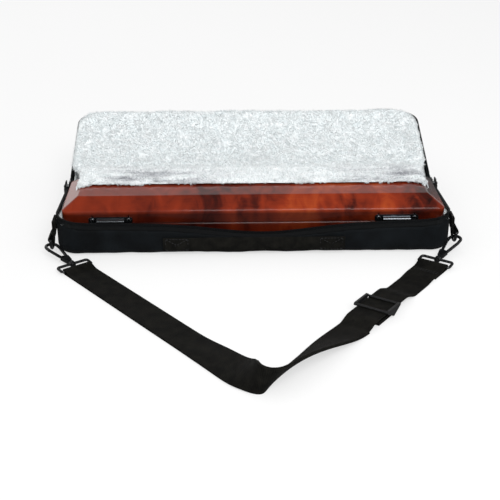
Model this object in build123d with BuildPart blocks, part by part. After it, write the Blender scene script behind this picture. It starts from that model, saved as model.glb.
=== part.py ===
from build123d import *
import os
from math import atan2, cos, degrees, hypot, radians, sin, tan

# A lacquered wooden flute case lying in its padded zip cover, with the cover's lid thrown back.
# Millimetres and degrees. X runs along the case, -Y is the front wall with the carrying handle,
# +Z is up, and the origin is the centre of the cover's flat bottom.

# --- zip cover ---
front_corner_radius = 20.0
rear_corner_radius = 12.0
cover_rounding = 10.0  # of the edges round the bottom and round the lid's top
wall_draft = 1.5  # degrees that the walls lean in, away from the rim
rim_front = 43.0
rim_rear = 35.0
lid_top = 63.0  # height of the shut cover
lid_angle = 156.0  # how far the lid lies back from shut
shell_wall = 3.0
lining_thickness = 2.5
floor_pad = 4.4
soft_gap = 0.3
sag_centre = 12.0  # the front rim hangs lowest here
sag_height = 25.0

# --- zip ---
tape_height = 7.0
tape_thickness = 1.0
coil_height = 2.0
coil_thickness = 2.0
seam_gap = 1.6  # between the two rows of teeth when the cover is shut
slider_length = 9.0
slider_height = 10.0
slider_plate = 1.3
slider_web = 0.8
slider_clearance = 0.4
slider_rest = 5.5  # from the end of the teeth to the slider's middle
pull_length = 22.0
pull_width = 6.0
pull_thickness = 1.2
pull_neck = 2.2
bail_wire = 0.6
fold_bead = 1.2
fold_flap = 8.0
fold_flap_thickness = 1.0

# --- wooden case ---
wood_length = 394.0
wood_depth = 92.0
wood_height = 48.0
wood_front_gap = 6.0  # from the lining's front wall at the rim to the wood
wood_rear_gap = 17.4
wood_end_gap = 1.2
wood_corner = 6.0
bevel_run = 16.0
bevel_rise = 11.0
bevel_corner = 2.0
wood_edge = 1.2
wood_wall = 5.5
seam_share = 23.5  # height of the wooden base, bottom to seam
wood_seam_gap = 0.2
insert_gap = 0.4
pad_depth = 6.0
groove_depth = 13.0
groove_rounding = 11.0
body_groove = 340.0
body_groove_width = 31.0
head_groove = 224.0
foot_groove = 132.0
short_groove_width = 30.0
groove_land = 10.0  # between neighbouring grooves

# --- butt hinges of the wooden case ---
hinge_inset = 77.0  # from the end of the wood to a hinge's middle
knuckle_radius = 2.0
hinge_pin_radius = 0.9
pin_clearance = 0.06
hinge_width = 30.0
hinge_leaf_height = 10.0
leaf_thickness = 1.0
knuckle_gap = 0.25

# --- sliding locks on the front of the wooden case ---
lock_inset = 50.0  # from the end of the wood to a lock's middle
lock_width = 45.0
lock_height = 11.0
lock_plate_thickness = 1.0
lock_corner = 4.0
keeper_height = 12.5
hood_length = 28.0
hood_radius = 3.2
hood_wall = 0.7
catch_size = 1.1
slide_travel = 8.0
slide_length = 16.0
slide_height = 6.6
slide_thickness = 1.2
slide_gap = 0.2
rail_lip = 1.0
rail_thickness = 0.8
thumb_length = 10.0
thumb_height = 4.0
thumb_relief = 1.4
tongue_width = 5.0
screw_head_radius = 2.0
screw_head_height = 1.1
screw_radius = 0.9
screw_length = 5.0

# --- webbing, rings and hooks ---
handle_length = 187.0
handle_top = 20.0
handle_bottom = 4.0
webbing = 1.3
strap_width = 30.0
layer_gap = 0.3
tab_width = 20.0
tab_centre_y = -46.0
tab_top = 36.0
ring_wire = 1.5  # radius
ring_radius = 12.0
ring_stand_off = 5.0  # of the ring's plane from the end wall
ring_height = {"left": 15.5, "right": 19.5}  # of the ring's straight bar
hook_drop = 7.0  # of the hook's tip below the ring's bar
hook_slack = 1.5
hook_wire = 1.6  # radius
hook_length = 47.0  # from the swivel to the middle of the wire at the tip
eye_radius = 6.0
eye_base = 14.0
eye_neck = 7.0
eye_taper = 3.4
nose_length = 6.0
gate_length = 17.5
gate_thickness = 1.8
gate_width = 2.6
gate_pin = 0.7  # radius
loop_clearance = 0.3
swivel_length = 3.6
swivel_stem = 1.3  # radius
swivel_head = 2.2
swivel_boss = 3.2
loop_wire = 1.4  # radius
loop_depth = 10.0
loop_corner = 2.5
strap_heading = {"left": 126.87, "right": 54.5}  # of each hook, seen from above
strap_end_height = 3.0
glide_distance = 120.0  # from the right strap loop to the adjuster's centre bar
glide_reach = 11.0
glide_travel = 12.0
glide_cheek = 2.2
glide_wire = 1.2
glide_bar = 1.0
bar_height = 3.0
sewn_end = 26.0
tail_length = 24.0

# --- places worked out from the sizes ---
lining_inset = shell_wall + soft_gap
padded_wall = lining_inset + lining_thickness
cover_length = wood_length + 2 * (wood_end_gap + padded_wall)
cover_depth = wood_front_gap + wood_depth + wood_rear_gap + 2 * padded_wall
half_length, half_depth = cover_length / 2, cover_depth / 2
draft = tan(radians(wall_draft))
fold_y = half_depth - draft * (rim_front - rim_rear)
rim_slope = (rim_front - rim_rear) / (fold_y + half_depth)
rim_angle = degrees(atan2(rim_slope, 1))
zip_end = half_depth - rear_corner_radius
tape_inset = (shell_wall - tape_thickness) / 2
coil_inset = (shell_wall - coil_thickness) / 2
wood_bottom = shell_wall + soft_gap + floor_pad + soft_gap
wood_top = wood_bottom + wood_height
seam_z = wood_bottom + seam_share
wood_front = padded_wall + wood_front_gap - half_depth
wood_rear = wood_front + wood_depth
wood_y = (wood_front + wood_rear) / 2
hinge_y = wood_rear + knuckle_radius + wood_seam_gap
far = 300.0  # reaches past the whole cover
lid_open = (
    Pos(0, fold_y, rim_rear) * Rot(-lid_angle, 0, 0) * Pos(0, -fold_y, -rim_rear)
)

os.makedirs("parts", exist_ok=True)


def rim_height(y):
    """Height of the base's rim line, which falls from the front corners to the fold."""
    return rim_rear + rim_slope * (fold_y - y)


def cover_block(low, high, inset, rounded_face=0):
    """The cover's plan between two heights, drawn in by an inset and by the walls' draft."""
    with BuildPart() as block:
        for height in (low, high):
            leaned = rim_front - height if rounded_face == 0 else abs(rim_front - height)
            drawn_in = inset + leaned * draft
            with BuildSketch(Plane.XY.offset(height)) as plan:
                Rectangle(cover_length - 2 * drawn_in, cover_depth - 2 * drawn_in)
                corners = plan.vertices().group_by(Axis.Y)
                fillet(corners[0], front_corner_radius - drawn_in)
                fillet(corners[-1], rear_corner_radius - drawn_in)
        loft(ruled=True)
        edges = block.faces().sort_by(Axis.Z)[rounded_face].edges()
        fillet(edges, cover_rounding - inset)
    return block.part


def above_rim(drop, rear_drop):
    """All that lies over the base's rim line lowered by a drop, with the front rim's sag."""
    with BuildPart() as region:
        with BuildSketch(Plane.YZ):
            with BuildLine():
                Polyline(
                    (-far, rim_height(-far) - drop),
                    (zip_end, rim_height(zip_end) - drop),
                    (zip_end, rim_rear - rear_drop),
                    (far, rim_rear - rear_drop),
                    (far, far),
                    (-far, far),
                    close=True,
                )
            make_face()
        extrude(amount=far, both=True)
        with BuildSketch(Plane.XZ.offset(half_depth - front_corner_radius)):
            with BuildLine():
                sag = Spline(
                    (-half_length - 2, rim_front - drop),
                    (-half_length + 20, rim_front - 5.6 - drop),
                    (-half_length + 54, rim_front - 7.4 - drop),
                    ((sag_centre - half_length + 54) / 2, rim_front - 10.4 - drop),
                    (sag_centre, sag_height - drop),
                    ((sag_centre + half_length - 54) / 2, rim_front - 11.2 - drop),
                    (half_length - 54, rim_front - 7.0 - drop),
                    (half_length - 20, rim_front - 5.0 - drop),
                    (half_length + 2, rim_front - drop),
                )
                Polyline(sag @ 1, (half_length + 2, far), (-half_length - 2, far), sag @ 0)
            make_face()
        extrude(amount=2 * front_corner_radius)
    return region.part


def below_lid_rim(rise, rear_rise):
    """All that lies under the shut lid's rim line raised by a rise."""
    with BuildPart() as region:
        with BuildSketch(Plane.YZ):
            with BuildLine():
                Polyline(
                    (-far, rim_height(-far) + seam_gap + rise),
                    (zip_end, rim_height(zip_end) + seam_gap + rise),
                    (zip_end, rim_rear + rear_rise),
                    (far, rim_rear + rear_rise),
                    (far, -far),
                    (-far, -far),
                    close=True,
                )
            make_face()
        extrude(amount=far, both=True)
    return region.part


def behind_zip():
    """The room behind the ends of the zip."""
    with BuildPart() as region:
        with BuildSketch(Plane.XZ.offset(-zip_end)):
            Rectangle(2 * far, 2 * far)
        extrude(amount=-far)
    return region.part


# The base of the cover: a padded tub with rounded bottom edges.
cover_ceiling = lid_top + cover_rounding
base_block = cover_block(0, cover_ceiling, 0)
base_room = cover_block(shell_wall, cover_ceiling, shell_wall)
shell_cut = above_rim(tape_height, fold_bead)
with BuildPart() as cover_base_shell:
    add(base_block)
    add(base_room, mode=Mode.SUBTRACT)
    add(shell_cut, mode=Mode.SUBTRACT)
    with BuildSketch(Plane.YZ):
        with Locations((fold_y, rim_rear)):
            Rectangle(
                2 * fold_flap_thickness, 2 * (fold_flap + fold_bead), align=Align.CENTER
            )
    extrude(amount=half_length - rear_corner_radius, both=True, mode=Mode.SUBTRACT)
cover_base_shell.part.label = "cover_base_shell"
export_step(cover_base_shell.part, "parts/cover_base_shell.step")

# The plush lining of the base, with the thick pad that the wooden case lies on.
lining_block = cover_block(shell_wall + soft_gap, cover_ceiling, lining_inset)
lining_room = cover_block(wood_bottom - soft_gap, cover_ceiling, padded_wall)
lining_cut = above_rim(tape_height, tape_height)
with BuildPart() as cover_base_lining:
    add(lining_block)
    add(lining_room, mode=Mode.SUBTRACT)
    add(lining_cut, mode=Mode.SUBTRACT)
cover_base_lining.part.label = "cover_base_lining"
export_step(cover_base_lining.part, "parts/cover_base_lining.step")

# The zip's woven tape stands on the shell's edge, and the row of teeth on the tape.
tape_outside = cover_block(floor_pad, cover_ceiling, tape_inset)
tape_inside = cover_block(floor_pad, cover_ceiling, tape_inset + tape_thickness)
teeth_outside = cover_block(floor_pad, cover_ceiling, coil_inset)
teeth_inside = cover_block(floor_pad, cover_ceiling, coil_inset + coil_thickness)
over_teeth = above_rim(0, 0)
over_tape = above_rim(coil_height, 0)
zip_back = behind_zip()
with BuildPart() as base_zipper_tape:
    add(tape_outside)
    add(tape_inside, mode=Mode.SUBTRACT)
    add(over_tape, mode=Mode.SUBTRACT)
    add(shell_cut, mode=Mode.INTERSECT)
    add(zip_back, mode=Mode.SUBTRACT)
base_zipper_tape.part.label = "base_zipper_tape"
export_step(base_zipper_tape.part, "parts/base_zipper_tape.step")

with BuildPart() as base_zipper_coil:
    add(teeth_outside)
    add(teeth_inside, mode=Mode.SUBTRACT)
    add(over_teeth, mode=Mode.SUBTRACT)
    add(over_tape, mode=Mode.INTERSECT)
    add(zip_back, mode=Mode.SUBTRACT)
base_zipper_coil.part.label = "base_zipper_coil"
export_step(base_zipper_coil.part, "parts/base_zipper_coil.step")

# The fabric fold along the rear edge: a flap sewn to the wall under a bead on the lid's axis.
with BuildPart() as hinge_fabric:
    with BuildSketch(Plane.YZ):
        with Locations((fold_y, rim_rear)):
            Circle(fold_bead)
            Rectangle(
                fold_flap_thickness, fold_flap + fold_bead, align=(Align.MAX, Align.MAX)
            )
    extrude(amount=half_length - rear_corner_radius, both=True)
hinge_fabric.part.label = "hinge_fabric"
export_step(hinge_fabric.part, "parts/hinge_fabric.step")

# The carrying handle: wide webbing that follows the front wall and its rounded lower edge.
handle_outside = cover_block(-webbing, cover_ceiling, -webbing)
handle_cut = above_rim(tape_height + soft_gap, 0)
with BuildPart() as front_handle:
    add(handle_outside)
    add(base_block, mode=Mode.SUBTRACT)
    with BuildSketch(Plane.XZ.offset(half_depth - front_corner_radius)):
        with Locations((0, handle_bottom)):
            Rectangle(handle_length, handle_top - handle_bottom, align=(Align.CENTER, Align.MIN))
    extrude(amount=2 * front_corner_radius, mode=Mode.INTERSECT)
    add(handle_cut, mode=Mode.SUBTRACT)
front_handle.part.label = "front_handle"
export_step(front_handle.part, "parts/front_handle.step")

# The lid of the cover is drawn shut and then turned open about its fold.
lid_low = rim_rear - shell_wall
lid_block = cover_block(rim_rear, lid_top, 0, rounded_face=-1)
lid_room = cover_block(lid_low, lid_top - shell_wall, shell_wall, rounded_face=-1)
lid_shell_cut = below_lid_rim(tape_height, fold_bead + soft_gap)
with BuildPart() as shut_shell:
    add(lid_block)
    add(lid_room, mode=Mode.SUBTRACT)
    add(lid_shell_cut, mode=Mode.SUBTRACT)
with BuildPart() as cover_lid_shell:
    with Locations(lid_open):
        add(shut_shell.part)
cover_lid_shell.part.label = "cover_lid_shell"
export_step(cover_lid_shell.part, "parts/cover_lid_shell.step")

lid_lining_top = lid_top - shell_wall - soft_gap
lid_lining_block = cover_block(rim_rear, lid_lining_top, lining_inset, rounded_face=-1)
lid_lining_room = cover_block(
    lid_low, lid_lining_top - lining_thickness, padded_wall, rounded_face=-1
)
lid_lining_cut = below_lid_rim(tape_height, tape_height)
with BuildPart() as shut_lining:
    add(lid_lining_block)
    add(lid_lining_room, mode=Mode.SUBTRACT)
    add(lid_lining_cut, mode=Mode.SUBTRACT)
with BuildPart() as cover_lid_lining:
    with Locations(lid_open):
        add(shut_lining.part)
cover_lid_lining.part.label = "cover_lid_lining"
export_step(cover_lid_lining.part, "parts/cover_lid_lining.step")

lid_tape_outside = cover_block(rim_rear, lid_top, tape_inset, rounded_face=-1)
lid_tape_inside = cover_block(
    lid_low, lid_top, tape_inset + tape_thickness, rounded_face=-1
)
lid_teeth_outside = cover_block(rim_rear, lid_top, coil_inset, rounded_face=-1)
lid_teeth_inside = cover_block(
    lid_low, lid_top, coil_inset + coil_thickness, rounded_face=-1
)
under_lid_teeth = below_lid_rim(0, 0)
under_lid_tape = below_lid_rim(coil_height, 0)
with BuildPart() as shut_tape:
    add(lid_tape_outside)
    add(lid_tape_inside, mode=Mode.SUBTRACT)
    add(under_lid_tape, mode=Mode.SUBTRACT)
    add(lid_shell_cut, mode=Mode.INTERSECT)
    add(zip_back, mode=Mode.SUBTRACT)
with BuildPart() as lid_zipper_tape:
    with Locations(lid_open):
        add(shut_tape.part)
lid_zipper_tape.part.label = "lid_zipper_tape"
export_step(lid_zipper_tape.part, "parts/lid_zipper_tape.step")

with BuildPart() as shut_coil:
    add(lid_teeth_outside)
    add(lid_teeth_inside, mode=Mode.SUBTRACT)
    add(under_lid_teeth, mode=Mode.SUBTRACT)
    add(under_lid_tape, mode=Mode.INTERSECT)
    add(zip_back, mode=Mode.SUBTRACT)
with BuildPart() as lid_zipper_coil:
    with Locations(lid_open):
        add(shut_coil.part)
lid_zipper_coil.part.label = "lid_zipper_coil"
export_step(lid_zipper_coil.part, "parts/lid_zipper_coil.step")

# A slider sits at the rear end of the teeth on each side: two plates joined by a web that
# runs in the gap between the two rows. Its pull hangs on a bail outside the wall.
slider_y = zip_end - slider_rest
slider_z = rim_height(slider_y) + seam_gap / 2
slider_x = half_length - shell_wall / 2 - draft * (rim_front - slider_z)
slot_width = coil_thickness + 2 * slider_clearance
bail_x = slot_width / 2 + slider_plate + bail_wire
for side, way in (("left", -1), ("right", 1)):
    across = Plane(
        origin=(way * slider_x, slider_y, slider_z),
        x_dir=(way, 0, 0),
        z_dir=(0, -way * cos(radians(rim_angle)), way * sin(radians(rim_angle))),
    )
    with BuildPart() as zip_slider:
        with BuildSketch(across):
            Rectangle(slot_width + 2 * slider_plate, slider_height)
            with Locations((0, slider_height / 2), (0, -slider_height / 2)):
                Rectangle(slot_width, slider_height - slider_web, mode=Mode.SUBTRACT)
        extrude(amount=slider_length / 2, both=True)
        ends = zip_slider.edges().filter_by(Axis.X).group_by(Axis.Z)
        fillet(ends[0] + ends[-1], slider_plate / 2)
        with BuildSketch(across):
            with Locations((bail_x, 0)):
                SlotOverall(4 * bail_wire, 2 * bail_wire + 0.8)
        extrude(amount=slider_length / 2 - 1, both=True)
        with BuildSketch(across):
            with Locations((bail_x + bail_wire, 0)):
                Circle(bail_wire + pull_thickness / 2, mode=Mode.ADD)
        extrude(amount=pull_width / 4, both=True, mode=Mode.SUBTRACT)
    zip_slider.part.label = f"zip_slider_{side}"
    export_step(zip_slider.part, f"parts/zip_slider_{side}.step")

    hang = Plane(
        origin=(way * (slider_x + bail_x + bail_wire), slider_y, slider_z),
        x_dir=(0, way, 0),
        z_dir=(way, 0, 0),
    )
    with BuildPart() as zip_pull:
        with BuildSketch(hang):
            with Locations((0, pull_thickness / 2)):
                Rectangle(
                    pull_width / 2 - 0.4, 2 * pull_neck, align=(Align.CENTER, Align.MAX)
                )
            with Locations((0, -pull_neck)):
                Rectangle(
                    pull_width, pull_length - pull_neck, align=(Align.CENTER, Align.MAX)
                )
        extrude(amount=pull_thickness / 2, both=True)
        corners = zip_pull.edges().filter_by(Axis.X).group_by(Axis.Z)[0]
        fillet(corners, pull_width / 3)
        with BuildSketch(hang):
            with Locations((0, -pull_length + 4)):
                Circle(1.4)
        extrude(amount=pull_thickness, both=True, mode=Mode.SUBTRACT)
    zip_pull.part.label = f"zip_pull_{side}"
    export_step(zip_pull.part, f"parts/zip_pull_{side}.step")


def wood_block(face_z, end_z, inset):
    """The wooden case between its flat face and the seam, drawn in by an inset all round."""
    way = 1 if end_z > face_z else -1
    slope = hypot(bevel_run, bevel_rise)
    face_inset = bevel_run + inset * (slope - bevel_run) / bevel_rise
    full_rise = bevel_rise + inset * (slope - bevel_rise) / bevel_run
    shoulder_z = face_z + way * full_rise
    with BuildPart() as block:
        with BuildSketch(Plane.XY.offset(face_z + way * inset)) as face:
            with Locations((0, wood_y)):
                Rectangle(wood_length - 2 * face_inset, wood_depth - 2 * face_inset)
            fillet(face.vertices(), bevel_corner)
        with BuildSketch(Plane.XY.offset(shoulder_z)) as shoulder:
            with Locations((0, wood_y)):
                Rectangle(wood_length - 2 * inset, wood_depth - 2 * inset)
            fillet(shoulder.vertices(), wood_corner - inset)
        loft(ruled=True)
        extrude(shoulder.sketch, amount=abs(end_z - shoulder_z), dir=(0, 0, way))
    return block.part


def groove(length, width, x, y):
    """A round-bottomed groove in the top of the insert."""
    with BuildPart() as hollow:
        with BuildSketch(Plane.XY.offset(insert_top)):
            with Locations((x, y)):
                SlotOverall(length, width)
        extrude(amount=-groove_depth)
        fillet(hollow.faces().sort_by(Axis.Z)[0].edges(), groove_rounding)
    return hollow.part


def on_wood(x, z):
    """A plane on the front of the wooden case, seen from outside."""
    return Plane(origin=(x, wood_front, z), x_dir=(1, 0, 0), z_dir=(0, -1, 0))


def screw(plane, head_seat):
    """A round-headed screw whose head sits a little above its plane."""
    with BuildPart(plane.offset(head_seat), mode=Mode.PRIVATE) as piece:
        with BuildSketch(plane.offset(head_seat)):
            Circle(screw_head_radius)
        extrude(amount=screw_head_height)
        fillet(piece.faces().sort_by(Axis(plane.origin, plane.z_dir))[-1].edges(), 0.7)
        with BuildSketch(plane.offset(head_seat)):
            Circle(screw_radius)
        extrude(amount=-screw_length)
    return piece.part


# The wooden case: a base and a lid with bevelled faces and hollowed insides.
half_seam = wood_seam_gap / 2
wood_base_block = wood_block(wood_bottom, seam_z - half_seam, 0)
wood_base_room = wood_block(wood_bottom, seam_z + 1, wood_wall)
wood_lid_block = wood_block(wood_top, seam_z + half_seam, 0)
wood_lid_room = wood_block(wood_top, seam_z - 1, wood_wall)
hinge_screw_xs = (-hinge_width / 2 + 5, hinge_width / 2 - 5)
hinge_xs = (hinge_inset - wood_length / 2, wood_length / 2 - hinge_inset)
lock_xs = (lock_inset - wood_length / 2, wood_length / 2 - lock_inset)
lower_leaf_z = seam_z - knuckle_radius - hinge_leaf_height / 2
upper_leaf_z = seam_z + knuckle_radius + hinge_leaf_height / 2
lock_screw_x = lock_width / 2 - 4
plate_z = seam_z - half_seam - lock_height / 2
keeper_z = seam_z + half_seam + keeper_height / 2
keeper_screw_z = keeper_z + 1.6


def behind_wood(x, z):
    """A plane on the rear of the wooden case, seen from outside."""
    return Plane(origin=(x, wood_rear, z), x_dir=(-1, 0, 0), z_dir=(0, 1, 0))


lower_hinge_screw_planes = [behind_wood(x + dx, lower_leaf_z) for x in hinge_xs for dx in hinge_screw_xs]
upper_hinge_screw_planes = [behind_wood(x + dx, upper_leaf_z) for x in hinge_xs for dx in hinge_screw_xs]
lock_screw_planes = [on_wood(x + dx, plate_z) for x in lock_xs for dx in (-lock_screw_x, lock_screw_x)]
keeper_screw_planes = [
    on_wood(x + dx, keeper_screw_z) for x in lock_xs for dx in (-lock_screw_x, lock_screw_x)
]

with BuildPart() as wood_base:
    add(wood_base_block)
    fillet(wood_base.faces().sort_by(Axis.Z)[0].edges(), wood_edge)
    add(wood_base_room, mode=Mode.SUBTRACT)
    for plane in lower_hinge_screw_planes + lock_screw_planes:
        with BuildSketch(plane):
            Circle(screw_radius)
        extrude(amount=-screw_length, mode=Mode.SUBTRACT)
wood_base.part.label = "wood_base"
export_step(wood_base.part, "parts/wood_base.step")

with BuildPart() as wood_lid:
    add(wood_lid_block)
    fillet(wood_lid.faces().sort_by(Axis.Z)[-1].edges(), wood_edge)
    add(wood_lid_room, mode=Mode.SUBTRACT)
    for plane in upper_hinge_screw_planes + keeper_screw_planes:
        with BuildSketch(plane):
            Circle(screw_radius)
        extrude(amount=-screw_length, mode=Mode.SUBTRACT)
wood_lid.part.label = "wood_lid"
export_step(wood_lid.part, "parts/wood_lid.step")

# The insert in the base has one long groove for the flute's body, and in front of it
# two shorter ones in line for the head joint and the foot joint.
insert_top = seam_z - insert_gap
insert_block = wood_block(wood_bottom, insert_top, wood_wall + insert_gap)
inner_length = wood_length - 2 * (wood_wall + insert_gap)
row_y = (body_groove_width + groove_land) / 2
head_x = -inner_length / 2 + groove_land / 2 + head_groove / 2
foot_x = inner_length / 2 - groove_land / 2 - foot_groove / 2
grooves = [
    groove(body_groove, body_groove_width, 0, wood_y + row_y),
    groove(head_groove, short_groove_width, head_x, wood_y - row_y),
    groove(foot_groove, short_groove_width, foot_x, wood_y - row_y),
]
with BuildPart() as flute_insert:
    add(insert_block)
    add(grooves, mode=Mode.SUBTRACT)
flute_insert.part.label = "flute_insert"
export_step(flute_insert.part, "parts/flute_insert.step")

# The lid's pad presses on the flute when the case is shut.
pad_low = wood_top - wood_wall - insert_gap - pad_depth
pad_block = wood_block(wood_top, seam_z, wood_wall + insert_gap)
with BuildPart() as lid_pad:
    add(pad_block)
    split(bisect_by=Plane.XY.offset(pad_low), keep=Keep.TOP)
lid_pad.part.label = "lid_pad"
export_step(lid_pad.part, "parts/lid_pad.step")

# Two butt hinges on the rear. The lower leaf has the two outer knuckles and the upper one
# the middle knuckle, and a pin runs through all three.
knuckle_length = hinge_width / 3
leaf_room = knuckle_radius + wood_seam_gap
for side, x in (("left", hinge_xs[0]), ("right", hinge_xs[1])):
    for leaf, leaf_z, starts, screws in (
        ("lower", lower_leaf_z, (-hinge_width / 2, hinge_width / 6), lower_hinge_screw_planes),
        ("upper", upper_leaf_z, (-hinge_width / 6,), upper_hinge_screw_planes),
    ):
        with BuildPart() as hinge_leaf:
            with BuildSketch(behind_wood(x, leaf_z)) as plate:
                Rectangle(hinge_width, hinge_leaf_height)
            extrude(amount=leaf_thickness)
            for start in starts:
                gap = knuckle_gap / 2
                with BuildSketch(Plane.YZ.offset(x + start + gap)):
                    with Locations((hinge_y, seam_z)):
                        Circle(knuckle_radius)
                    with Locations((wood_rear + leaf_thickness / 2, (seam_z + leaf_z) / 2)):
                        Rectangle(leaf_thickness, abs(leaf_z - seam_z))
                extrude(amount=knuckle_length - 2 * gap)
            with BuildSketch(Plane.YZ.offset(x - hinge_width)):
                with Locations((hinge_y, seam_z)):
                    Circle(hinge_pin_radius + pin_clearance)
            extrude(amount=2 * hinge_width, mode=Mode.SUBTRACT)
            for plane in screws:
                with BuildSketch(plane):
                    Circle(screw_radius)
                extrude(amount=leaf_thickness, mode=Mode.SUBTRACT)
        hinge_leaf.part.label = f"{leaf}_hinge_leaf_{side}"
        export_step(hinge_leaf.part, f"parts/{leaf}_hinge_leaf_{side}.step")

    with BuildPart() as hinge_pin:
        with BuildSketch(Plane.YZ.offset(x - hinge_width / 2)):
            with Locations((hinge_y, seam_z)):
                Circle(hinge_pin_radius)
        extrude(amount=hinge_width)
    hinge_pin.part.label = f"hinge_pin_{side}"
    export_step(hinge_pin.part, f"parts/hinge_pin_{side}.step")

# Sliding locks. On the base a plate carries a thumb slide between two rails, and the slide's
# tongue stands up into the keeper on the lid, where it passes over a catch as it slides out.
slide_face = lock_plate_thickness + slide_gap
slide_z = plate_z - 0.4
rail_y = slide_height / 2 + slide_gap
rail_depth = slide_face + slide_thickness + slide_gap + rail_thickness
tongue_x = -slide_length / 2 + tongue_width
catch_z = seam_z + 2.0
tongue_top = catch_z + catch_size + slide_gap + 2.2
hood_z = keeper_z - 0.6
hood_low = seam_z + half_seam + 1.2
for side, way, x in (("left", -1, lock_xs[0]), ("right", 1, lock_xs[1])):
    with BuildPart() as lock_plate:
        with BuildSketch(on_wood(x, plate_z)) as outline:
            Rectangle(lock_width, lock_height)
            fillet(outline.vertices().group_by(Axis.Z)[0], lock_corner)
        extrude(amount=lock_plate_thickness)
        for start, length, turn in (
            (-slide_length / 2 - slide_travel, slide_length + 2 * slide_travel, -1),
            (-slide_length / 2 - slide_travel, slide_travel + 1, 1),
            (tongue_x + tongue_width / 2 + slide_travel + 1, 7, 1),
        ):
            begin = start if way > 0 else -start - length
            profile = Plane(
                origin=(x + begin, wood_front, slide_z + turn * rail_y),
                x_dir=(0, -1, 0),
                z_dir=(1, 0, 0),
            )
            with BuildSketch(profile):
                with BuildLine():
                    Polyline(
                        (0, 0),
                        (slide_face + slide_thickness + slide_gap, 0),
                        (slide_face + slide_thickness + slide_gap, rail_lip * turn),
                        (rail_depth, rail_lip * turn),
                        (rail_depth, -rail_thickness * turn),
                        (0, -rail_thickness * turn),
                        close=True,
                    )
                make_face()
            extrude(amount=length)
        for dx in (-lock_screw_x, lock_screw_x):
            with BuildSketch(on_wood(x + dx, plate_z)):
                Circle(screw_radius)
            extrude(amount=lock_plate_thickness, mode=Mode.SUBTRACT)
    lock_plate.part.label = f"lock_plate_{side}"
    export_step(lock_plate.part, f"parts/lock_plate_{side}.step")

    with BuildPart() as lock_slide:
        with BuildSketch(on_wood(x, slide_z).offset(slide_face)):
            Rectangle(slide_length, slide_height)
            with Locations((way * tongue_x, (tongue_top - slide_z) / 2)):
                Rectangle(tongue_width, tongue_top - slide_z)
        extrude(amount=slide_thickness)
        with BuildSketch(on_wood(x, slide_z).offset(slide_face + slide_thickness)):
            Rectangle(thumb_length, thumb_height)
        extrude(amount=thumb_relief)
        grip = lock_slide.edges().filter_by(Axis.Z).group_by(Axis.Y)[0]
        chamfer(grip, thumb_relief / 2)
        hook_low = catch_z + catch_size + slide_gap
        with BuildSketch(on_wood(x, 0).offset(slide_face + slide_thickness)):
            with Locations((way * tongue_x, (hook_low + tongue_top) / 2)):
                Rectangle(tongue_width, tongue_top - hook_low)
        extrude(amount=catch_size)
    lock_slide.part.label = f"lock_slide_{side}"
    export_step(lock_slide.part, f"parts/lock_slide_{side}.step")

    with BuildPart() as latch_keeper:
        with BuildSketch(on_wood(x, keeper_z)) as outline:
            Rectangle(lock_width, keeper_height)
            fillet(outline.vertices().group_by(Axis.Z)[-1], lock_corner)
        extrude(amount=lock_plate_thickness)
        # the half-round hood that hides the tongue, open below
        with BuildSketch(Plane.YZ.offset(x - hood_length / 2)):
            with Locations((wood_front - lock_plate_thickness, hood_z)):
                Circle(hood_radius + hood_wall)
            with Locations((wood_front - lock_plate_thickness, (hood_z + hood_low) / 2)):
                Rectangle(2 * (hood_radius + hood_wall), hood_z - hood_low)
            with Locations((wood_front - lock_plate_thickness, hood_z)):
                Rectangle(far, far, align=(Align.MIN, Align.CENTER), mode=Mode.SUBTRACT)
        extrude(amount=hood_length)
        with BuildSketch(Plane.YZ.offset(x - hood_length / 2 + hood_wall)):
            with Locations((wood_front - lock_plate_thickness, hood_z)):
                Circle(hood_radius)
            with Locations((wood_front - lock_plate_thickness, (hood_z + hood_low) / 2)):
                Rectangle(2 * hood_radius, hood_z - hood_low)
            with Locations((wood_front - lock_plate_thickness, hood_z)):
                Rectangle(far, far, align=(Align.MIN, Align.CENTER), mode=Mode.SUBTRACT)
        extrude(amount=hood_length - 2 * hood_wall, mode=Mode.SUBTRACT)
        catch_start = way * (tongue_x + tongue_width / 2 + 1)
        catch_end = way * (hood_length / 2 - hood_wall / 2)
        with BuildSketch(
            on_wood(x + (catch_start + catch_end) / 2, catch_z + catch_size / 2).offset(
                slide_face + slide_thickness + slide_gap
            )
        ):
            Rectangle(abs(catch_end - catch_start), catch_size)
        extrude(amount=hood_radius + hood_wall / 2 - slide_thickness - 2 * slide_gap)
        for dx in (-lock_screw_x, lock_screw_x):
            with BuildSketch(on_wood(x + dx, keeper_screw_z)):
                Circle(screw_radius)
            extrude(amount=lock_plate_thickness, mode=Mode.SUBTRACT)
    latch_keeper.part.label = f"latch_keeper_{side}"
    export_step(latch_keeper.part, f"parts/latch_keeper_{side}.step")

for name, planes, seat in (
    ("lower_hinge_screws", lower_hinge_screw_planes, leaf_thickness),
    ("upper_hinge_screws", upper_hinge_screw_planes, leaf_thickness),
    ("lock_screws", lock_screw_planes, lock_plate_thickness),
    ("keeper_screws", keeper_screw_planes, lock_plate_thickness),
):
    pieces = [screw(plane, seat) for plane in planes]
    with BuildPart() as screw_group:
        add(pieces)
    screw_group.part.label = name
    export_step(screw_group.part, f"parts/{name}.step")


def heading_of(angle, rise=0.0):
    """A unit vector at an angle seen from above, climbing by the sine given."""
    flat = (1 - rise * rise) ** 0.5
    return Vector(cos(radians(angle)) * flat, sin(radians(angle)) * flat, rise)


def strap_plane(side):
    """The upright plane down the middle of a strap end, from its loop's bar toward the strap."""
    run = heading_of(strap_heading[side] + 180)
    return Plane(origin=strap_end[side], x_dir=run, z_dir=run.cross(Vector(0, 0, 1)))


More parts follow.
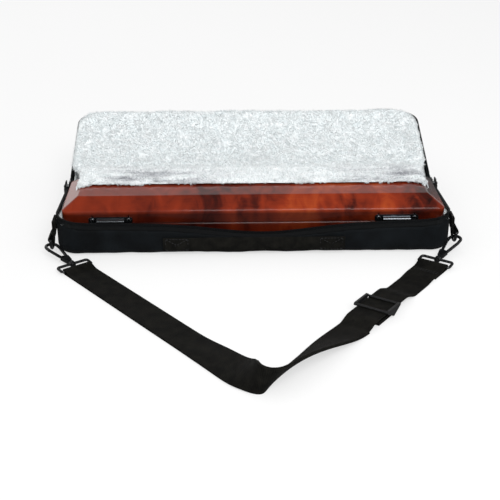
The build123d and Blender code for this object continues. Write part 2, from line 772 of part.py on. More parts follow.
# Where each hook hangs: its tip is drawn over the front of its ring and it slopes down to
# the bar of its strap loop, which lies just over the table.
ring_front = (ring_radius**2 - hook_drop**2) ** 0.5
ring_x = half_length + ring_stand_off
hook_span = hook_length + loop_depth
loop_width = strap_width + 2 * (loop_wire + 2 * layer_gap)
past_ring = ring_wire + hook_slack + hook_wire
hook_plane, strap_end = {}, {}
for side, way in (("left", -1), ("right", 1)):
    held = Vector(way * ring_x, tab_centre_y - ring_front, ring_height[side] - hook_drop)
    climb = (held.Z - strap_end_height) / (hook_span - past_ring)
    aim = heading_of(strap_heading[side], climb)
    level = heading_of(strap_heading[side] + 90)
    swivel = held + aim * (past_ring - hook_length)
    hook_plane[side] = Plane(origin=swivel, x_dir=aim, z_dir=aim.cross(level))
    bar = swivel - aim * loop_depth
    strap_end[side] = Vector(bar.X, bar.Y, 0)

for side, way in (("left", -1), ("right", 1)):
    bar_z = ring_height[side]
    with BuildPart() as d_ring:
        with BuildSketch(Plane.XZ.offset(-tab_centre_y)):
            with Locations((way * ring_x, bar_z)):
                Circle(ring_wire)
        extrude(amount=ring_radius, both=True)
        with BuildSketch(Plane.XY.offset(bar_z)):
            with Locations((way * ring_x, tab_centre_y - ring_radius)):
                Circle(ring_wire)
        revolve(axis=Axis((0, tab_centre_y, bar_z), (1, 0, 0)), revolution_arc=180)
        with Locations(
            (way * ring_x, tab_centre_y - ring_radius, bar_z),
            (way * ring_x, tab_centre_y + ring_radius, bar_z),
        ):
            Sphere(ring_wire)
    d_ring.part.label = f"d_ring_{side}"
    export_step(d_ring.part, f"parts/d_ring_{side}.step")

    # The tab is sewn to the end wall and folded round the ring's straight bar.
    wall_x = half_length + layer_gap / 3 + webbing / 2
    sewn_x = wall_x + webbing + layer_gap / 3
    round_ring = ring_wire + layer_gap + webbing / 2
    with BuildPart() as ring_tab:
        with BuildSketch(Plane.XZ.offset(-tab_centre_y)):
            with BuildLine():
                Line((way * wall_x, tab_top), (way * wall_x, bar_z + 9))
                Spline(
                    (way * wall_x, bar_z + 9),
                    (way * (ring_x - round_ring), bar_z),
                    tangents=((0, -1), (0, -1)),
                )
                ThreePointArc(
                    (way * (ring_x - round_ring), bar_z),
                    (way * ring_x, bar_z - round_ring),
                    (way * (ring_x + round_ring), bar_z),
                )
                Spline(
                    (way * (ring_x + round_ring), bar_z),
                    (way * sewn_x, bar_z + 10),
                    tangents=((0, 1), (0, 1)),
                )
                Line((way * sewn_x, bar_z + 10), (way * sewn_x, tab_top))
            trace(line_width=webbing)
        extrude(amount=tab_width / 2, both=True)
    ring_tab.part.label = f"ring_tab_{side}"
    export_step(ring_tab.part, f"parts/ring_tab_{side}.step")

    # The snap hook: a cast base with a swivel stem behind it and a bent wire eye before it.
    flat_of_hook = hook_plane[side]
    hinge_pivot = (eye_base + 0.5, eye_radius - eye_taper)
    eye_x = hook_length - eye_radius
    nose_x = eye_x - nose_length
    with BuildPart() as snap_hook:
        with BuildLine(flat_of_hook) as eye:
            Line((nose_x, eye_radius), (eye_x, eye_radius))
            ThreePointArc((eye_x, eye_radius), (hook_length, 0), (eye_x, -eye_radius))
            Line((eye_x, -eye_radius), (eye_x - nose_length, -eye_radius))
            Line((eye_x - nose_length, -eye_radius), (eye_base, -eye_radius + eye_taper))
        with BuildSketch(Plane(origin=eye.line @ 0, z_dir=eye.line % 0)):
            Circle(hook_wire)
        sweep(transition=Transition.ROUND)
        with BuildSketch(flat_of_hook):
            with Locations((eye_neck, 0)):
                Circle(2 * hook_wire)
            with Locations((eye_base, -eye_radius + eye_taper)):
                Circle(hook_wire)
            with Locations(hinge_pivot):
                Circle(gate_thickness + 0.4)
            make_hull()
        extrude(amount=gate_thickness, both=True)
        with BuildSketch(flat_of_hook):
            with Locations(hinge_pivot):
                Circle(gate_thickness + 1)
                Rectangle(eye_radius, 2 * gate_thickness, align=(Align.MIN, Align.CENTER))
        extrude(amount=gate_thickness / 2 + 0.1, both=True, mode=Mode.SUBTRACT)
        with BuildSketch(flat_of_hook):
            with Locations(hinge_pivot):
                Circle(gate_pin)
        extrude(amount=gate_thickness, both=True)
        behind = Plane(
            origin=flat_of_hook.origin, x_dir=flat_of_hook.y_dir, z_dir=flat_of_hook.x_dir
        )
        with BuildSketch(behind.offset(-swivel_length / 2 - loop_clearance)):
            Circle(swivel_stem)
        extrude(amount=swivel_length / 2 + loop_clearance + eye_neck)
        with BuildSketch(behind.offset(-swivel_length / 2 - loop_clearance)):
            Circle(swivel_head)
        extrude(amount=-1.5)
    snap_hook.part.label = f"snap_hook_{side}"
    export_step(snap_hook.part, f"parts/snap_hook_{side}.step")

    # The gate closes the eye from its pivot in the base to the end of the wire.
    with BuildPart() as hook_gate:
        with BuildSketch(flat_of_hook):
            with BuildLine():
                Line(hinge_pivot, (nose_x - gate_width / 2 - loop_clearance, eye_radius - 0.3))
            trace(line_width=gate_width)
            with Locations(hinge_pivot, (nose_x - gate_width / 2 - loop_clearance, eye_radius - 0.3)):
                Circle(gate_width / 2)
            with Locations(hinge_pivot):
                Circle(gate_pin + pin_clearance, mode=Mode.SUBTRACT)
        extrude(amount=gate_thickness / 2 - 0.05, both=True)
    hook_gate.part.label = f"hook_gate_{side}"
    export_step(hook_gate.part, f"parts/hook_gate_{side}.step")

    # The strap loop: a rounded rectangle of wire with a boss that holds the swivel stem.
    with BuildSketch(flat_of_hook) as loop_outline:
        with Locations((-loop_depth / 2, 0)):
            RectangleRounded(loop_depth, loop_width, loop_corner)
    loop_path = loop_outline.sketch.faces()[0].outer_wire()
    with BuildPart() as strap_loop:
        with BuildSketch(Plane(origin=loop_path @ 0, z_dir=loop_path % 0)):
            Circle(loop_wire)
        sweep(path=loop_path)
        with BuildSketch(behind):
            Circle(swivel_boss)
        extrude(amount=swivel_length / 2, both=True)
        with BuildSketch(behind):
            Circle(swivel_stem + loop_clearance / 2)
        extrude(amount=swivel_boss + loop_wire, both=True, mode=Mode.SUBTRACT)
    strap_loop.part.label = f"strap_loop_{side}"
    export_step(strap_loop.part, f"parts/strap_loop_{side}.step")


# The shoulder strap lies on the table, doubled along its whole length. This is its run
# between the two straight ends: place, heading, and how far it has rolled over.
strap_run = [
    (-61.7, -251.6, -53.1, 0),
    (-48.7, -269.3, -53.1, 10),
    (-35.6, -288.3, -53.0, 22),
    (-23.2, -307.7, -52.0, 36),
    (-13.8, -323.6, -38.0, 48),
    (-7.0, -330.0, 0.0, 60),
    (3.4, -327.3, 58.0, 92),
    (22.0, -306.0, 54.0, 125),
    (40.5, -283.0, 51.0, 145),
    (60.5, -259.5, 50.5, 165),
]
layer_step = webbing + layer_gap
low_layer, high_layer = webbing / 2, webbing / 2 + layer_step
over_bar = strap_end_height + loop_wire + layer_gap + webbing / 2
round_bar = over_bar - strap_end_height
lifted = bar_height + glide_bar + 2 * layer_gap + 1.5 * webbing
left_run, right_run = strap_plane("left"), strap_plane("right")
start = Vector(strap_run[0][0], strap_run[0][1], 0)
left_straight = (start - strap_end["left"]).length
right_straight = glide_distance + 45


def layer(offset):
    """One layer of the doubled strap between its straight ends."""
    joined = strap_end["right"] + right_run.x_dir * right_straight
    stations = strap_run + [(joined.X, joined.Y, strap_heading["right"], 180)]
    with BuildPart() as piece:
        for x, y, heading, roll in stations:
            turn = radians(roll)
            side_way = heading_of(heading + 90)
            up = Vector(0, 0, 1)
            across = side_way * cos(turn) + up * sin(turn)
            through = up * cos(turn) - side_way * sin(turn)
            height = strap_width / 2 * sin(turn) + (webbing + layer_gap / 2) * abs(cos(turn))
            place = Vector(x, y, height) + through * offset
            with BuildSketch(Plane(origin=place, x_dir=across, z_dir=heading_of(heading))):
                Rectangle(strap_width, webbing)
        loft(ruled=True)
    return piece.part


running_layer = layer(-layer_step / 2)
return_layer = layer(layer_step / 2)
with BuildPart() as shoulder_strap:
    add(running_layer)
    add(return_layer)
    with BuildSketch(left_run):
        with BuildLine():
            Line((left_straight, low_layer), (0, low_layer))
            ThreePointArc((0, low_layer), (-round_bar, strap_end_height), (0, over_bar))
            Spline((0, over_bar), (14, high_layer), tangents=((1, 0), (1, 0)))
            Line((14, high_layer), (left_straight, high_layer))
        trace(line_width=webbing)
    extrude(amount=strap_width / 2, both=True)
    with BuildSketch(right_run):
        with BuildLine():
            Line((sewn_end, low_layer), (0, low_layer))
            ThreePointArc((0, low_layer), (-round_bar, strap_end_height), (0, over_bar))
            Spline((0, over_bar), (14, high_layer), tangents=((1, 0), (1, 0)))
            Line((14, high_layer), (sewn_end + 2, high_layer))
            Spline(
                (sewn_end + 2, high_layer), (sewn_end + 19, low_layer), tangents=((1, 0), (1, 0))
            )
            Line((sewn_end + 19, low_layer), (68, low_layer))
            Spline((68, low_layer), (90, lifted), tangents=((1, 0), (1, 0)))
            Line((90, lifted), (147, lifted))
            Spline((147, lifted), (right_straight, high_layer), tangents=((1, 0), (1, 0)))
            Line((right_straight - 5, low_layer), (right_straight, low_layer))
        trace(line_width=webbing)
    extrude(amount=strap_width / 2, both=True)
shoulder_strap.part.label = "shoulder_strap"
export_step(shoulder_strap.part, "parts/shoulder_strap.step")

# The strap's end is sewn round the middle bar of the adjuster and slides with it.
round_middle = glide_bar + layer_gap - 0.1 + webbing / 2
tail_end = glide_distance + tail_length
tail_high = bar_height - round_middle + webbing + layer_gap / 3
with BuildPart() as strap_tail:
    with BuildSketch(right_run):
        with BuildLine():
            Line((tail_end, bar_height - round_middle), (glide_distance, bar_height - round_middle))
            ThreePointArc(
                (glide_distance, bar_height - round_middle),
                (glide_distance - round_middle, bar_height),
                (glide_distance, bar_height + round_middle),
            )
            Spline(
                (glide_distance, bar_height + round_middle),
                (glide_distance + 12, tail_high),
                tangents=((1, 0), (1, 0)),
            )
            Line(
                (glide_distance + 12, tail_high),
                (tail_end, tail_high),
            )
        trace(line_width=webbing)
    extrude(amount=strap_width / 2, both=True)
strap_tail.part.label = "strap_tail"
export_step(strap_tail.part, "parts/strap_tail.step")

# The adjuster has a middle bar under the strap and two bars over it, joined by its cheeks.
end_bar_z = lifted + webbing / 2 + layer_gap + glide_wire
bars = [(glide_distance - glide_reach, end_bar_z), (glide_distance + glide_reach, end_bar_z)]
cheek_start = strap_width / 2 + 2 * layer_gap
with BuildPart() as tri_glide:
    for turn in (-1, 1):
        with BuildSketch(right_run.offset(turn * cheek_start)):
            with Locations(*bars, (glide_distance, bar_height)):
                Circle(glide_wire + 0.4)
            make_hull()
        extrude(amount=turn * glide_cheek)
    with BuildSketch(right_run):
        with Locations(*bars):
            Circle(glide_wire)
        with Locations((glide_distance, bar_height)):
            Circle(glide_bar)
    extrude(amount=cheek_start + glide_cheek / 2, both=True)
tri_glide.part.label = "tri_glide"
export_step(tri_glide.part, "parts/tri_glide.step")
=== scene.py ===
import math

import bmesh
import bpy
import numpy as np
from mathutils import Matrix, Vector, noise


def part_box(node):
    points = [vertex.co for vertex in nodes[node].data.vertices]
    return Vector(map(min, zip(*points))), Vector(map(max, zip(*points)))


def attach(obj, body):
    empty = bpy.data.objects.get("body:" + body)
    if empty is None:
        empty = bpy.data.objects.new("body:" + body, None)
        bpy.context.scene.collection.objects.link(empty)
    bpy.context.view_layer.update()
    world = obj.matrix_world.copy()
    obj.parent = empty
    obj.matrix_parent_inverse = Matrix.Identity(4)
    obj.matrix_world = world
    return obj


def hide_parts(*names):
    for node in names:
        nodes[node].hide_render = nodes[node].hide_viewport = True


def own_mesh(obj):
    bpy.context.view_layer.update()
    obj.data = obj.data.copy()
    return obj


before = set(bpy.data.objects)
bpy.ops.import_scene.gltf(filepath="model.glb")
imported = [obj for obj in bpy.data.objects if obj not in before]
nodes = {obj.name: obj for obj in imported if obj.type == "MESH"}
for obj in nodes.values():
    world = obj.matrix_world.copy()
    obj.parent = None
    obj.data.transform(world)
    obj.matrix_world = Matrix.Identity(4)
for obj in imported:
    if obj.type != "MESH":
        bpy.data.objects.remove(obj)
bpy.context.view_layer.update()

# A flute case lying open on a table: lacquered wood inside a padded zip cover with white
# plush, and a doubled shoulder strap in front. Metres, in the frame of the solid model.
mm = 0.001

# --- sizes shared with the solid model ---
half_length, half_depth = 204.0 * mm, 63.5 * mm
wall_lean = math.tan(math.radians(1.5))
rim_front, rim_rear = 43.0 * mm, 35.0 * mm
fold_y = half_depth - wall_lean * (rim_front - rim_rear)
lid_angle = math.radians(156)
cover_rounding = 10.0 * mm
webbing = 1.3 * mm
strap_width = 30.0 * mm
ring_x, ring_y = 209.0, -46.0  # the D-rings' bars, in millimetres
ring_height = {"left": 15.5, "right": 19.5}

# --- fineness ---
few = 1.0  # the share of the pile's tufts that is made
pillow_voxel = 1.7 * mm
cloth_voxel, lining_voxel, fold_voxel, cushion_voxel = 2.0 * mm, 2.2 * mm, 1.7 * mm, 1.6 * mm
plan_points, run_steps = 200, 60  # round a pad's plan, and along each of its eight runs


# ---------------------------------------------------------------- materials
band_scale = 0.314  # a wave texture of this scale has bands one unit wide


def linear(hex_colour):
    """sRGB hex to linear RGBA."""
    parts = [int(hex_colour[i:i + 2], 16) / 255 for i in (1, 3, 5)]
    return tuple(
        p / 12.92 if p <= 0.04045 else ((p + 0.055) / 1.055) ** 2.4 for p in parts
    ) + (1,)


def add(tree, kind, settings=None, links=None):
    """Adds a node, sets its properties and sockets, and links its inputs."""
    made = tree.nodes.new("ShaderNode" + kind)
    for key, value in (settings or {}).items():
        if isinstance(key, str) and hasattr(made, key) and key not in made.inputs:
            setattr(made, key, value)
        else:
            made.inputs[key].default_value = value
    for key, source in (links or {}).items():
        tree.links.new(source, made.inputs[key])
    return made


def material(name, settings):
    """A new material, with its shader's own sockets set."""
    made = bpy.data.materials.new(name)
    made.use_nodes = True
    shader = made.node_tree.nodes["Principled BSDF"]
    for key, value in settings.items():
        shader.inputs[key].default_value = value
    return made, made.node_tree, shader


def ramp(tree, source, stops):
    """A colour ramp with (place, hex) stops."""
    made = add(tree, "ValToRGB", {}, {"Fac": source})
    band = made.color_ramp
    while len(band.elements) < len(stops):
        band.elements.new(0.5)
    for element, (place, colour) in zip(band.elements, stops):
        element.position = place
        element.color = linear(colour)
    return made.outputs["Color"]


def calc(tree, operation, *values):
    """The result of a math node on sockets and numbers."""
    sockets = {i: v for i, v in enumerate(values) if isinstance(v, bpy.types.NodeSocket)}
    numbers = {i: v for i, v in enumerate(values) if i not in sockets}
    return add(tree, "Math", {"operation": operation, **numbers}, sockets).outputs[0]


def rescaled(tree, source, start=0.0, end=1.0, low=0.0, high=1.0):
    """A value brought from start...end to low...high, and kept between them."""
    return add(
        tree, "MapRange",
        {"From Min": start, "From Max": end, "To Min": low, "To Max": high},
        {"Value": source},
    ).outputs["Result"]


def object_mm(tree, scale=(1, 1, 1), turn=(0, 0, 0)):
    """Object coordinates in millimetres, divided by a pattern's size along each axis."""
    place = add(tree, "TexCoord")
    mapped = add(
        tree, "Mapping",
        {"Scale": tuple(1000 / s for s in scale), "Rotation": turn},
        {"Vector": place.outputs["Object"]},
    )
    return mapped.outputs["Vector"]


def clouds(tree, scale, turn=(0, 0, 0), **settings):
    """Noise with a size in millimetres along each axis."""
    return add(
        tree, "TexNoise", {"Scale": 1.0, **settings}, {"Vector": object_mm(tree, scale, turn)}
    ).outputs["Fac"]


def waves(tree, vector, direction):
    """Smooth bands, one for each unit of the vector."""
    return add(
        tree, "TexWave",
        {"wave_type": "BANDS", "bands_direction": direction, "wave_profile": "SIN",
         "Scale": band_scale, "Distortion": 0.0},
        {"Vector": vector},
    ).outputs["Fac"]


def bump(tree, shader, height, distance, strength=1.0):
    """Bump of a real depth in metres."""
    made = add(tree, "Bump", {"Distance": distance, "Strength": strength}, {"Height": height})
    tree.links.new(made.outputs["Normal"], shader.inputs["Normal"])


# Pack cloth: plain-woven nylon with a coated back. Its threads are about 0.5 mm wide, and
# drawn 1.1 mm wide so that the weave shows. Dull, and a slightly blue black.
def make_nylon():
    made, tree, shader = material(
        "black_woven_nylon",
        {"Roughness": 0.7, "Specular IOR Level": 0.1, "Sheen Weight": 0.03,
         "Sheen Roughness": 0.5},
    )
    thread_size = (1.1, 1.1, 1.1)
    across = waves(tree, object_mm(tree, thread_size), "X")
    upward = waves(tree, object_mm(tree, thread_size), "DIAGONAL")
    weave = calc(tree, "MULTIPLY", across, upward)
    blotch = clouds(tree, (24, 24, 24), Detail=4.0)
    mixed = calc(tree, "MULTIPLY_ADD", weave, 0.3, blotch)
    colour = ramp(tree, mixed, [(0.35, "#07090b"), (0.6, "#0c1013"), (0.95, "#151a1e")])
    tree.links.new(colour, shader.inputs["Base Color"])
    bump(tree, shader, weave, 0.12 * mm, 0.6)
    return made


# Plush: deep white polyester pile, matt with a soft sheen, its white varying a little in 6 mm
# clumps.
# The bulge that lies on the wood has painted shade on its top: grey patches mixed into its
# colour, from the fold (Y 62) to the front edge (Y 12), strongest near the wood's two ends.
def make_plush():
    made, tree, shader = material(
        "white_plush_pile",
        {"Roughness": 0.95, "Specular IOR Level": 0.1, "Sheen Weight": 0.4,
         "Sheen Roughness": 0.8},
    )
    clump = clouds(tree, (6, 6, 6), Detail=5.0, Roughness=0.6)
    colour = ramp(tree, clump, [(0.25, "#eff6f8"), (0.5, "#f6fbfc"), (0.75, "#fcfeff")])
    place = add(tree, "SeparateXYZ", {}, {0: object_mm(tree)}).outputs
    near = rescaled(tree, place["Y"], 62.0, 12.0)
    high = rescaled(tree, place["Z"], 50.0, 54.0)
    patch = clouds(tree, (48, 14, 14), Detail=4.0, Roughness=0.7)
    shade = rescaled(tree, patch, 0.4, 0.62, 0.0, 0.85)
    run = rescaled(tree, place["X"], -204.0, 204.0)
    ends = ramp(tree, run, [
        (0.08, "#202020"), (0.17, "#ffffff"), (0.32, "#c8c8c8"), (0.46, "#383838"),
        (0.68, "#383838"), (0.78, "#d0d0d0"), (0.9, "#ffffff"), (1.0, "#404040")])
    # Painted shade: the share of grey mixed into the plush, by place on the bulge over the wood.
    dim = near
    for factor in (high, shade, ends):
        dim = calc(tree, "MULTIPLY", dim, factor)
    painted_shade_colour = add(tree, "MixRGB", {2: linear("#6d6e7c")}, {0: dim, 1: colour}).outputs[0]
    tree.links.new(painted_shade_colour, shader.inputs["Base Color"])
    fibre = clouds(tree, (3.2, 3.2, 3.2), Detail=3.0, Roughness=0.75)
    bump(tree, shader, fibre, 0.8 * mm, 0.3)
    return made


# Woven webbing: black polypropylene with ribs across it every 1.4 mm and threads along it.
def make_webbing():
    made, tree, shader = material(
        "black_ribbed_webbing",
        {"Roughness": 0.6, "Specular IOR Level": 0.09, "Sheen Weight": 0.02,
         "Sheen Roughness": 0.4},
    )
    place = add(tree, "UVMap", {"uv_map": "along"}).outputs["UV"]
    ribs, threads = (
        waves(tree, add(tree, "Mapping", {"Scale": pitch}, {"Vector": place}).outputs[0], way)
        for pitch, way in (((1000 / 1.4, 1, 1), "X"), ((1, 1000 / 1.1, 1), "Y"))
    )
    weave = calc(tree, "MULTIPLY_ADD", ribs, 0.7, threads)
    fade = clouds(tree, (9, 9, 9), Detail=3.0)
    mixed = calc(tree, "MULTIPLY_ADD", weave, 0.3, fade)
    colour = ramp(tree, mixed, [(0.35, "#050505"), (0.65, "#0d0d0b"), (1.0, "#1b1a16")])
    tree.links.new(colour, shader.inputs["Base Color"])
    bump(tree, shader, weave, 0.16 * mm, 0.9)
    return made


# Flame mahogany under thick polished lacquer: dark and orange figure across the length,
# fine pores along it, and a hard mirror coat over a softer grain. The figure is faint at
# the left end and full from X 90 on. Painted shade darkens the front face toward the bottom,
# to about a third below Z 41 mm, so that it is darker than the bevel over it.
def make_wood():
    made, tree, shader = material(
        "lacquered_flame_mahogany",
        {"Roughness": 0.38, "IOR": 1.5, "Specular IOR Level": 0.1, "Coat Weight": 1.0,
         "Coat Roughness": 0.05, "Coat IOR": 1.42},
    )
    flame = clouds(tree, (17, 30, 26), (0, 0.5, 0.5), Detail=4.0, Roughness=0.5,
                   Distortion=1.0)
    broad = clouds(tree, (42, 90, 90), (0, 0, 0.2), Detail=2.0, Distortion=0.6)
    pores = clouds(tree, (30, 0.8, 0.8), (0, 0, 0.06), Detail=3.0)
    figure = calc(tree, "MULTIPLY_ADD", broad, 1.5, flame)
    mixed = calc(tree, "MULTIPLY_ADD", pores, 0.14, figure)
    share = rescaled(tree, mixed, 0.9, 1.75)
    place = add(tree, "SeparateXYZ", {}, {0: object_mm(tree)}).outputs
    lively = rescaled(tree, place["X"], -200.0, 90.0, 0.25)
    calm = add(tree, "MapRange", {"To Min": 0.5}, {"Value": lively, "To Max": share})
    figured = ramp(
        tree, calm.outputs["Result"],
        [(0.12, "#260804"), (0.28, "#4f1407"), (0.44, "#74240d"), (0.64, "#882c10"),
         (0.94, "#a44119")],
    )
    # Painted shade: the front face below the bevel is darkened by height.
    front_face_painted_shade = rescaled(tree, place["Z"], 41.0, 44.5, 0.32)
    grey = add(tree, "CombineXYZ", {}, {0: front_face_painted_shade, 1: front_face_painted_shade, 2: front_face_painted_shade}).outputs[0]
    colour = add(tree, "MixRGB", {"blend_type": "MULTIPLY", 0: 1.0}, {1: figured, 2: grey})
    tree.links.new(colour.outputs[0], shader.inputs["Base Color"])
    eased = add(tree, "Bevel", {"samples": 6, "Radius": 2.4 * mm}).outputs["Normal"]
    tree.links.new(eased, shader.inputs["Normal"])
    tree.links.new(eased, shader.inputs["Coat Normal"])
    return made


# Chrome or nickel plate over pressed steel: a mirror with faint polishing lines.
def make_plate(name, tint, rough):
    made, tree, shader = material(name, {"Metallic": 1.0, "Base Color": linear(tint)})
    streak = clouds(tree, (9, 0.5, 0.5), Detail=3.0)
    spread = rescaled(tree, streak, low=rough * 0.7, high=rough * 1.6)
    tree.links.new(spread, shader.inputs["Roughness"])
    return made


# Cast zinc and bent wire in black gloss enamel, or moulded acetal: worn faintly greyer in
# patches.
def make_enamel(name, colour, rough):
    made, tree, shader = material(name, {"Coat Weight": 0.6, "Coat Roughness": 0.12})
    wear = clouds(tree, (4, 4, 4), Detail=4.0)
    worn = ramp(tree, wear, [(0.3, colour), (0.8, "#1c1d1f")])
    tree.links.new(worn, shader.inputs["Base Color"])
    spread = rescaled(tree, wear, low=rough, high=rough + 0.2)
    tree.links.new(spread, shader.inputs["Roughness"])
    return made


# Woven zip tape, and the nylon coil, whose turns stand 1.6 mm apart along the rim.
def make_zip(name, pitch, depth, rough):
    made, tree, shader = material(name, {"Roughness": rough, "Specular IOR Level": 0.15})
    lengthways = waves(tree, object_mm(tree, (pitch, pitch, pitch)), "X")
    sideways = waves(tree, object_mm(tree, (pitch, pitch, pitch)), "Y")
    turns = calc(tree, "ADD", lengthways, sideways)
    colour = ramp(tree, turns, [(0.2, "#050606"), (1.0, "#131517")])
    tree.links.new(colour, shader.inputs["Base Color"])
    bump(tree, shader, turns, depth)
    return made


# Short cotton velvet that lines the wooden case: dark, with a bright edge sheen.
def make_velvet():
    made, tree, shader = material(
        "short_black_velvet",
        {"Roughness": 1.0, "Specular IOR Level": 0.1, "Sheen Weight": 0.8,
         "Sheen Roughness": 0.35},
    )
    nap = clouds(tree, (5, 5, 5), Detail=6.0)
    colour = ramp(tree, nap, [(0.3, "#0b0a10"), (0.8, "#1a1824")])
    tree.links.new(colour, shader.inputs["Base Color"])
    bump(tree, shader, nap, 0.3 * mm, 0.5)
    return made


# Bonded polyester sewing thread, slightly glossier than the cloth it lies on.
def make_thread():
    made, tree, shader = material("black_sewing_thread", {"Roughness": 0.45})
    twist = waves(tree, object_mm(tree, (0.7, 0.7, 0.7)), "DIAGONAL")
    colour = ramp(tree, twist, [(0.2, "#17181a"), (1.0, "#2c2d30")])
    tree.links.new(colour, shader.inputs["Base Color"])
    return made


nylon = make_nylon()
plush = make_plush()
webbing_cloth = make_webbing()
wood = make_wood()
chrome = make_plate("bright_chrome_plate", "#74787c", 0.2)
hinge_steel = make_plate("plated_hinge_steel", "#b9b7b0", 0.2)
enamel = make_enamel("black_gloss_enamel", "#08090a", 0.18)
acetal = make_enamel("black_moulded_acetal", "#0b0c0d", 0.32)
zip_tape = make_zip("woven_zip_tape", 0.9, 0.1 * mm, 0.8)
zip_coil = make_zip("nylon_zip_coil", 1.6, 0.5 * mm, 0.5)
velvet = make_velvet()
thread = make_thread()

finishes = {
    "wood_base": wood, "wood_lid": wood, "flute_insert": velvet,
    "tri_glide": acetal, "base_zipper_coil": zip_coil, "lid_zipper_coil": zip_coil,
    "lock_screws": chrome,
    "lower_hinge_screws": hinge_steel, "upper_hinge_screws": hinge_steel,
}
for side in ("left", "right"):
    for node in ("zip_slider", "zip_pull", "d_ring", "snap_hook", "hook_gate", "strap_loop"):
        finishes[f"{node}_{side}"] = enamel
    for node in ("lock_plate", "lock_slide"):
        finishes[f"{node}_{side}"] = chrome
    for node in ("lower_hinge_leaf", "upper_hinge_leaf", "hinge_pin"):
        finishes[f"{node}_{side}"] = hinge_steel
for node, finish in finishes.items():
    nodes[node].data.materials.clear()
    nodes[node].data.materials.append(finish)


# ---------------------------------------------------------------- shaping
def piece_from(mesh_builder, name, finish, smooth=True):
    """A piece whose mesh a bmesh holds."""
    mesh = bpy.data.meshes.new(name)
    mesh_builder.to_mesh(mesh)
    mesh_builder.free()
    mesh.materials.append(finish)
    if smooth:
        mesh.shade_smooth()
    piece = bpy.data.objects.new(name, mesh)
    bpy.context.scene.collection.objects.link(piece)
    return piece


def settle(piece):
    """Applies what modifiers a piece has."""
    view = bpy.context.evaluated_depsgraph_get()
    mesh = bpy.data.meshes.new_from_object(piece.evaluated_get(view))
    piece.modifiers.clear()
    piece.data = mesh
    return piece


def remeshed(piece, voxel, finish):
    """A piece remeshed evenly, shaded smooth and in one finish."""
    even = piece.modifiers.new("even", "REMESH")
    even.mode = "VOXEL"
    even.voxel_size = voxel
    even.use_smooth_shade = True
    settle(piece)
    piece.data.materials.clear()
    piece.data.materials.append(finish)
    return piece


def copy_of(node, name, finish, voxel=None):
    """A copy of a solid, merged, and remeshed evenly where a voxel size is given."""
    shape = bmesh.new()
    shape.from_mesh(nodes[node].data)
    bmesh.ops.remove_doubles(shape, verts=shape.verts, dist=1e-6)
    piece = piece_from(shape, name, finish)
    return remeshed(piece, voxel, finish) if voxel else piece


def join(name, parts):
    """Several pieces as one."""
    shape = bmesh.new()
    for part in parts:
        shape.from_mesh(part.data)
    finish = parts[0].data.materials[0]
    for part in parts:
        bpy.data.objects.remove(part)
    return piece_from(shape, name, finish)


def push(piece, amount):
    """Moves each point along its normal by amount(point, normal)."""
    mesh = piece.data
    count = len(mesh.vertices)
    places, normals = np.empty(count * 3), np.empty(count * 3)
    mesh.vertices.foreach_get("co", places)
    mesh.vertices.foreach_get("normal", normals)
    places, normals = places.reshape(-1, 3), normals.reshape(-1, 3)
    steps = np.array([amount(Vector(p), Vector(n)) for p, n in zip(places, normals)])
    mesh.vertices.foreach_set("co", (places + normals * steps[:, None]).ravel())
    mesh.update()


def ripples(*kinds, where=lambda n: True):
    """A push by noise of (depth in mm, size in m), for the normals that where() accepts."""
    def amount(p, n):
        if not where(n):
            return 0.0
        return sum(depth * mm * noise.noise(p / size) for depth, size in kinds)
    return amount


def spike():
    """Points and triangles of one tuft: a three-sided spike of unit radius and height."""
    one = bmesh.new()
    bmesh.ops.create_cone(one, cap_ends=True, segments=3, radius1=1, radius2=0, depth=1)
    bmesh.ops.translate(one, verts=one.verts, vec=(0, 0, 0.5))
    bmesh.ops.triangulate(one, faces=one.faces)
    one.verts.ensure_lookup_table()
    shape = np.array([v.co[:] for v in one.verts])
    faces = np.array([[v.index for v in f.verts] for f in one.faces])
    one.free()
    return shape, faces


clump_size = 0.011  # metres over which tufts lean the same way
clump_lean, own_lean = 2.0, 0.45


def tufts(name, source, wanted, count, length, radius, seed, spread):
    """Many fine tufts of pile on those faces of a piece for which wanted() holds.

    They stand along the faces' normals, and lean off them by the spread: mostly together
    with their neighbours, and a little each by itself.
    """
    rng = np.random.default_rng(seed)
    mesh = source.data
    mesh.calc_loop_triangles()
    triangles = [t for t in mesh.loop_triangles if wanted(t.center, t.normal)]
    corners = np.array([[mesh.vertices[v].co[:] for v in t.vertices] for t in triangles])
    normals = np.array([t.normal[:] for t in triangles])
    areas = np.array([t.area for t in triangles])
    pick = rng.choice(len(triangles), size=count, p=areas / areas.sum())
    a, b = rng.random(count), rng.random(count)
    flip = a + b > 1
    a[flip], b[flip] = 1 - a[flip], 1 - b[flip]
    root = corners[pick, 0] * (1 - a - b)[:, None] + corners[pick, 1] * a[:, None] \
        + corners[pick, 2] * b[:, None]

    own = rng.normal(size=(count, 3))
    together = np.stack([
        np.array([noise.noise(Vector(p) / clump_size + Vector((k * 17.0, 0, 0))) for p in root])
        for k in range(3)], axis=1)
    up = normals[pick] + (together * clump_lean + own * own_lean) * spread
    up /= np.linalg.norm(up, axis=1)[:, None]
    side = np.cross(up, rng.normal(size=(count, 3)))
    side /= np.linalg.norm(side, axis=1)[:, None]
    other = np.cross(up, side)

    shape, faces = spike()
    tall = length * rng.uniform(0.65, 1.15, count)
    wide = radius * rng.uniform(0.7, 1.3, count)
    points = (
        root[:, None, :]
        + side[:, None, :] * (shape[None, :, 0] * wide[:, None])[:, :, None]
        + other[:, None, :] * (shape[None, :, 1] * wide[:, None])[:, :, None]
        + up[:, None, :] * (shape[None, :, 2] * tall[:, None])[:, :, None]
    )
    offsets = (np.arange(count) * len(shape))[:, None, None]
    pile = bpy.data.meshes.new(name)
    pile.from_pydata(
        points.reshape(-1, 3).tolist(), [], (faces[None] + offsets).reshape(-1, 3).tolist()
    )
    pile.materials.append(plush)
    pile.shade_smooth()
    piece = bpy.data.objects.new(name, pile)
    bpy.context.scene.collection.objects.link(piece)
    return piece


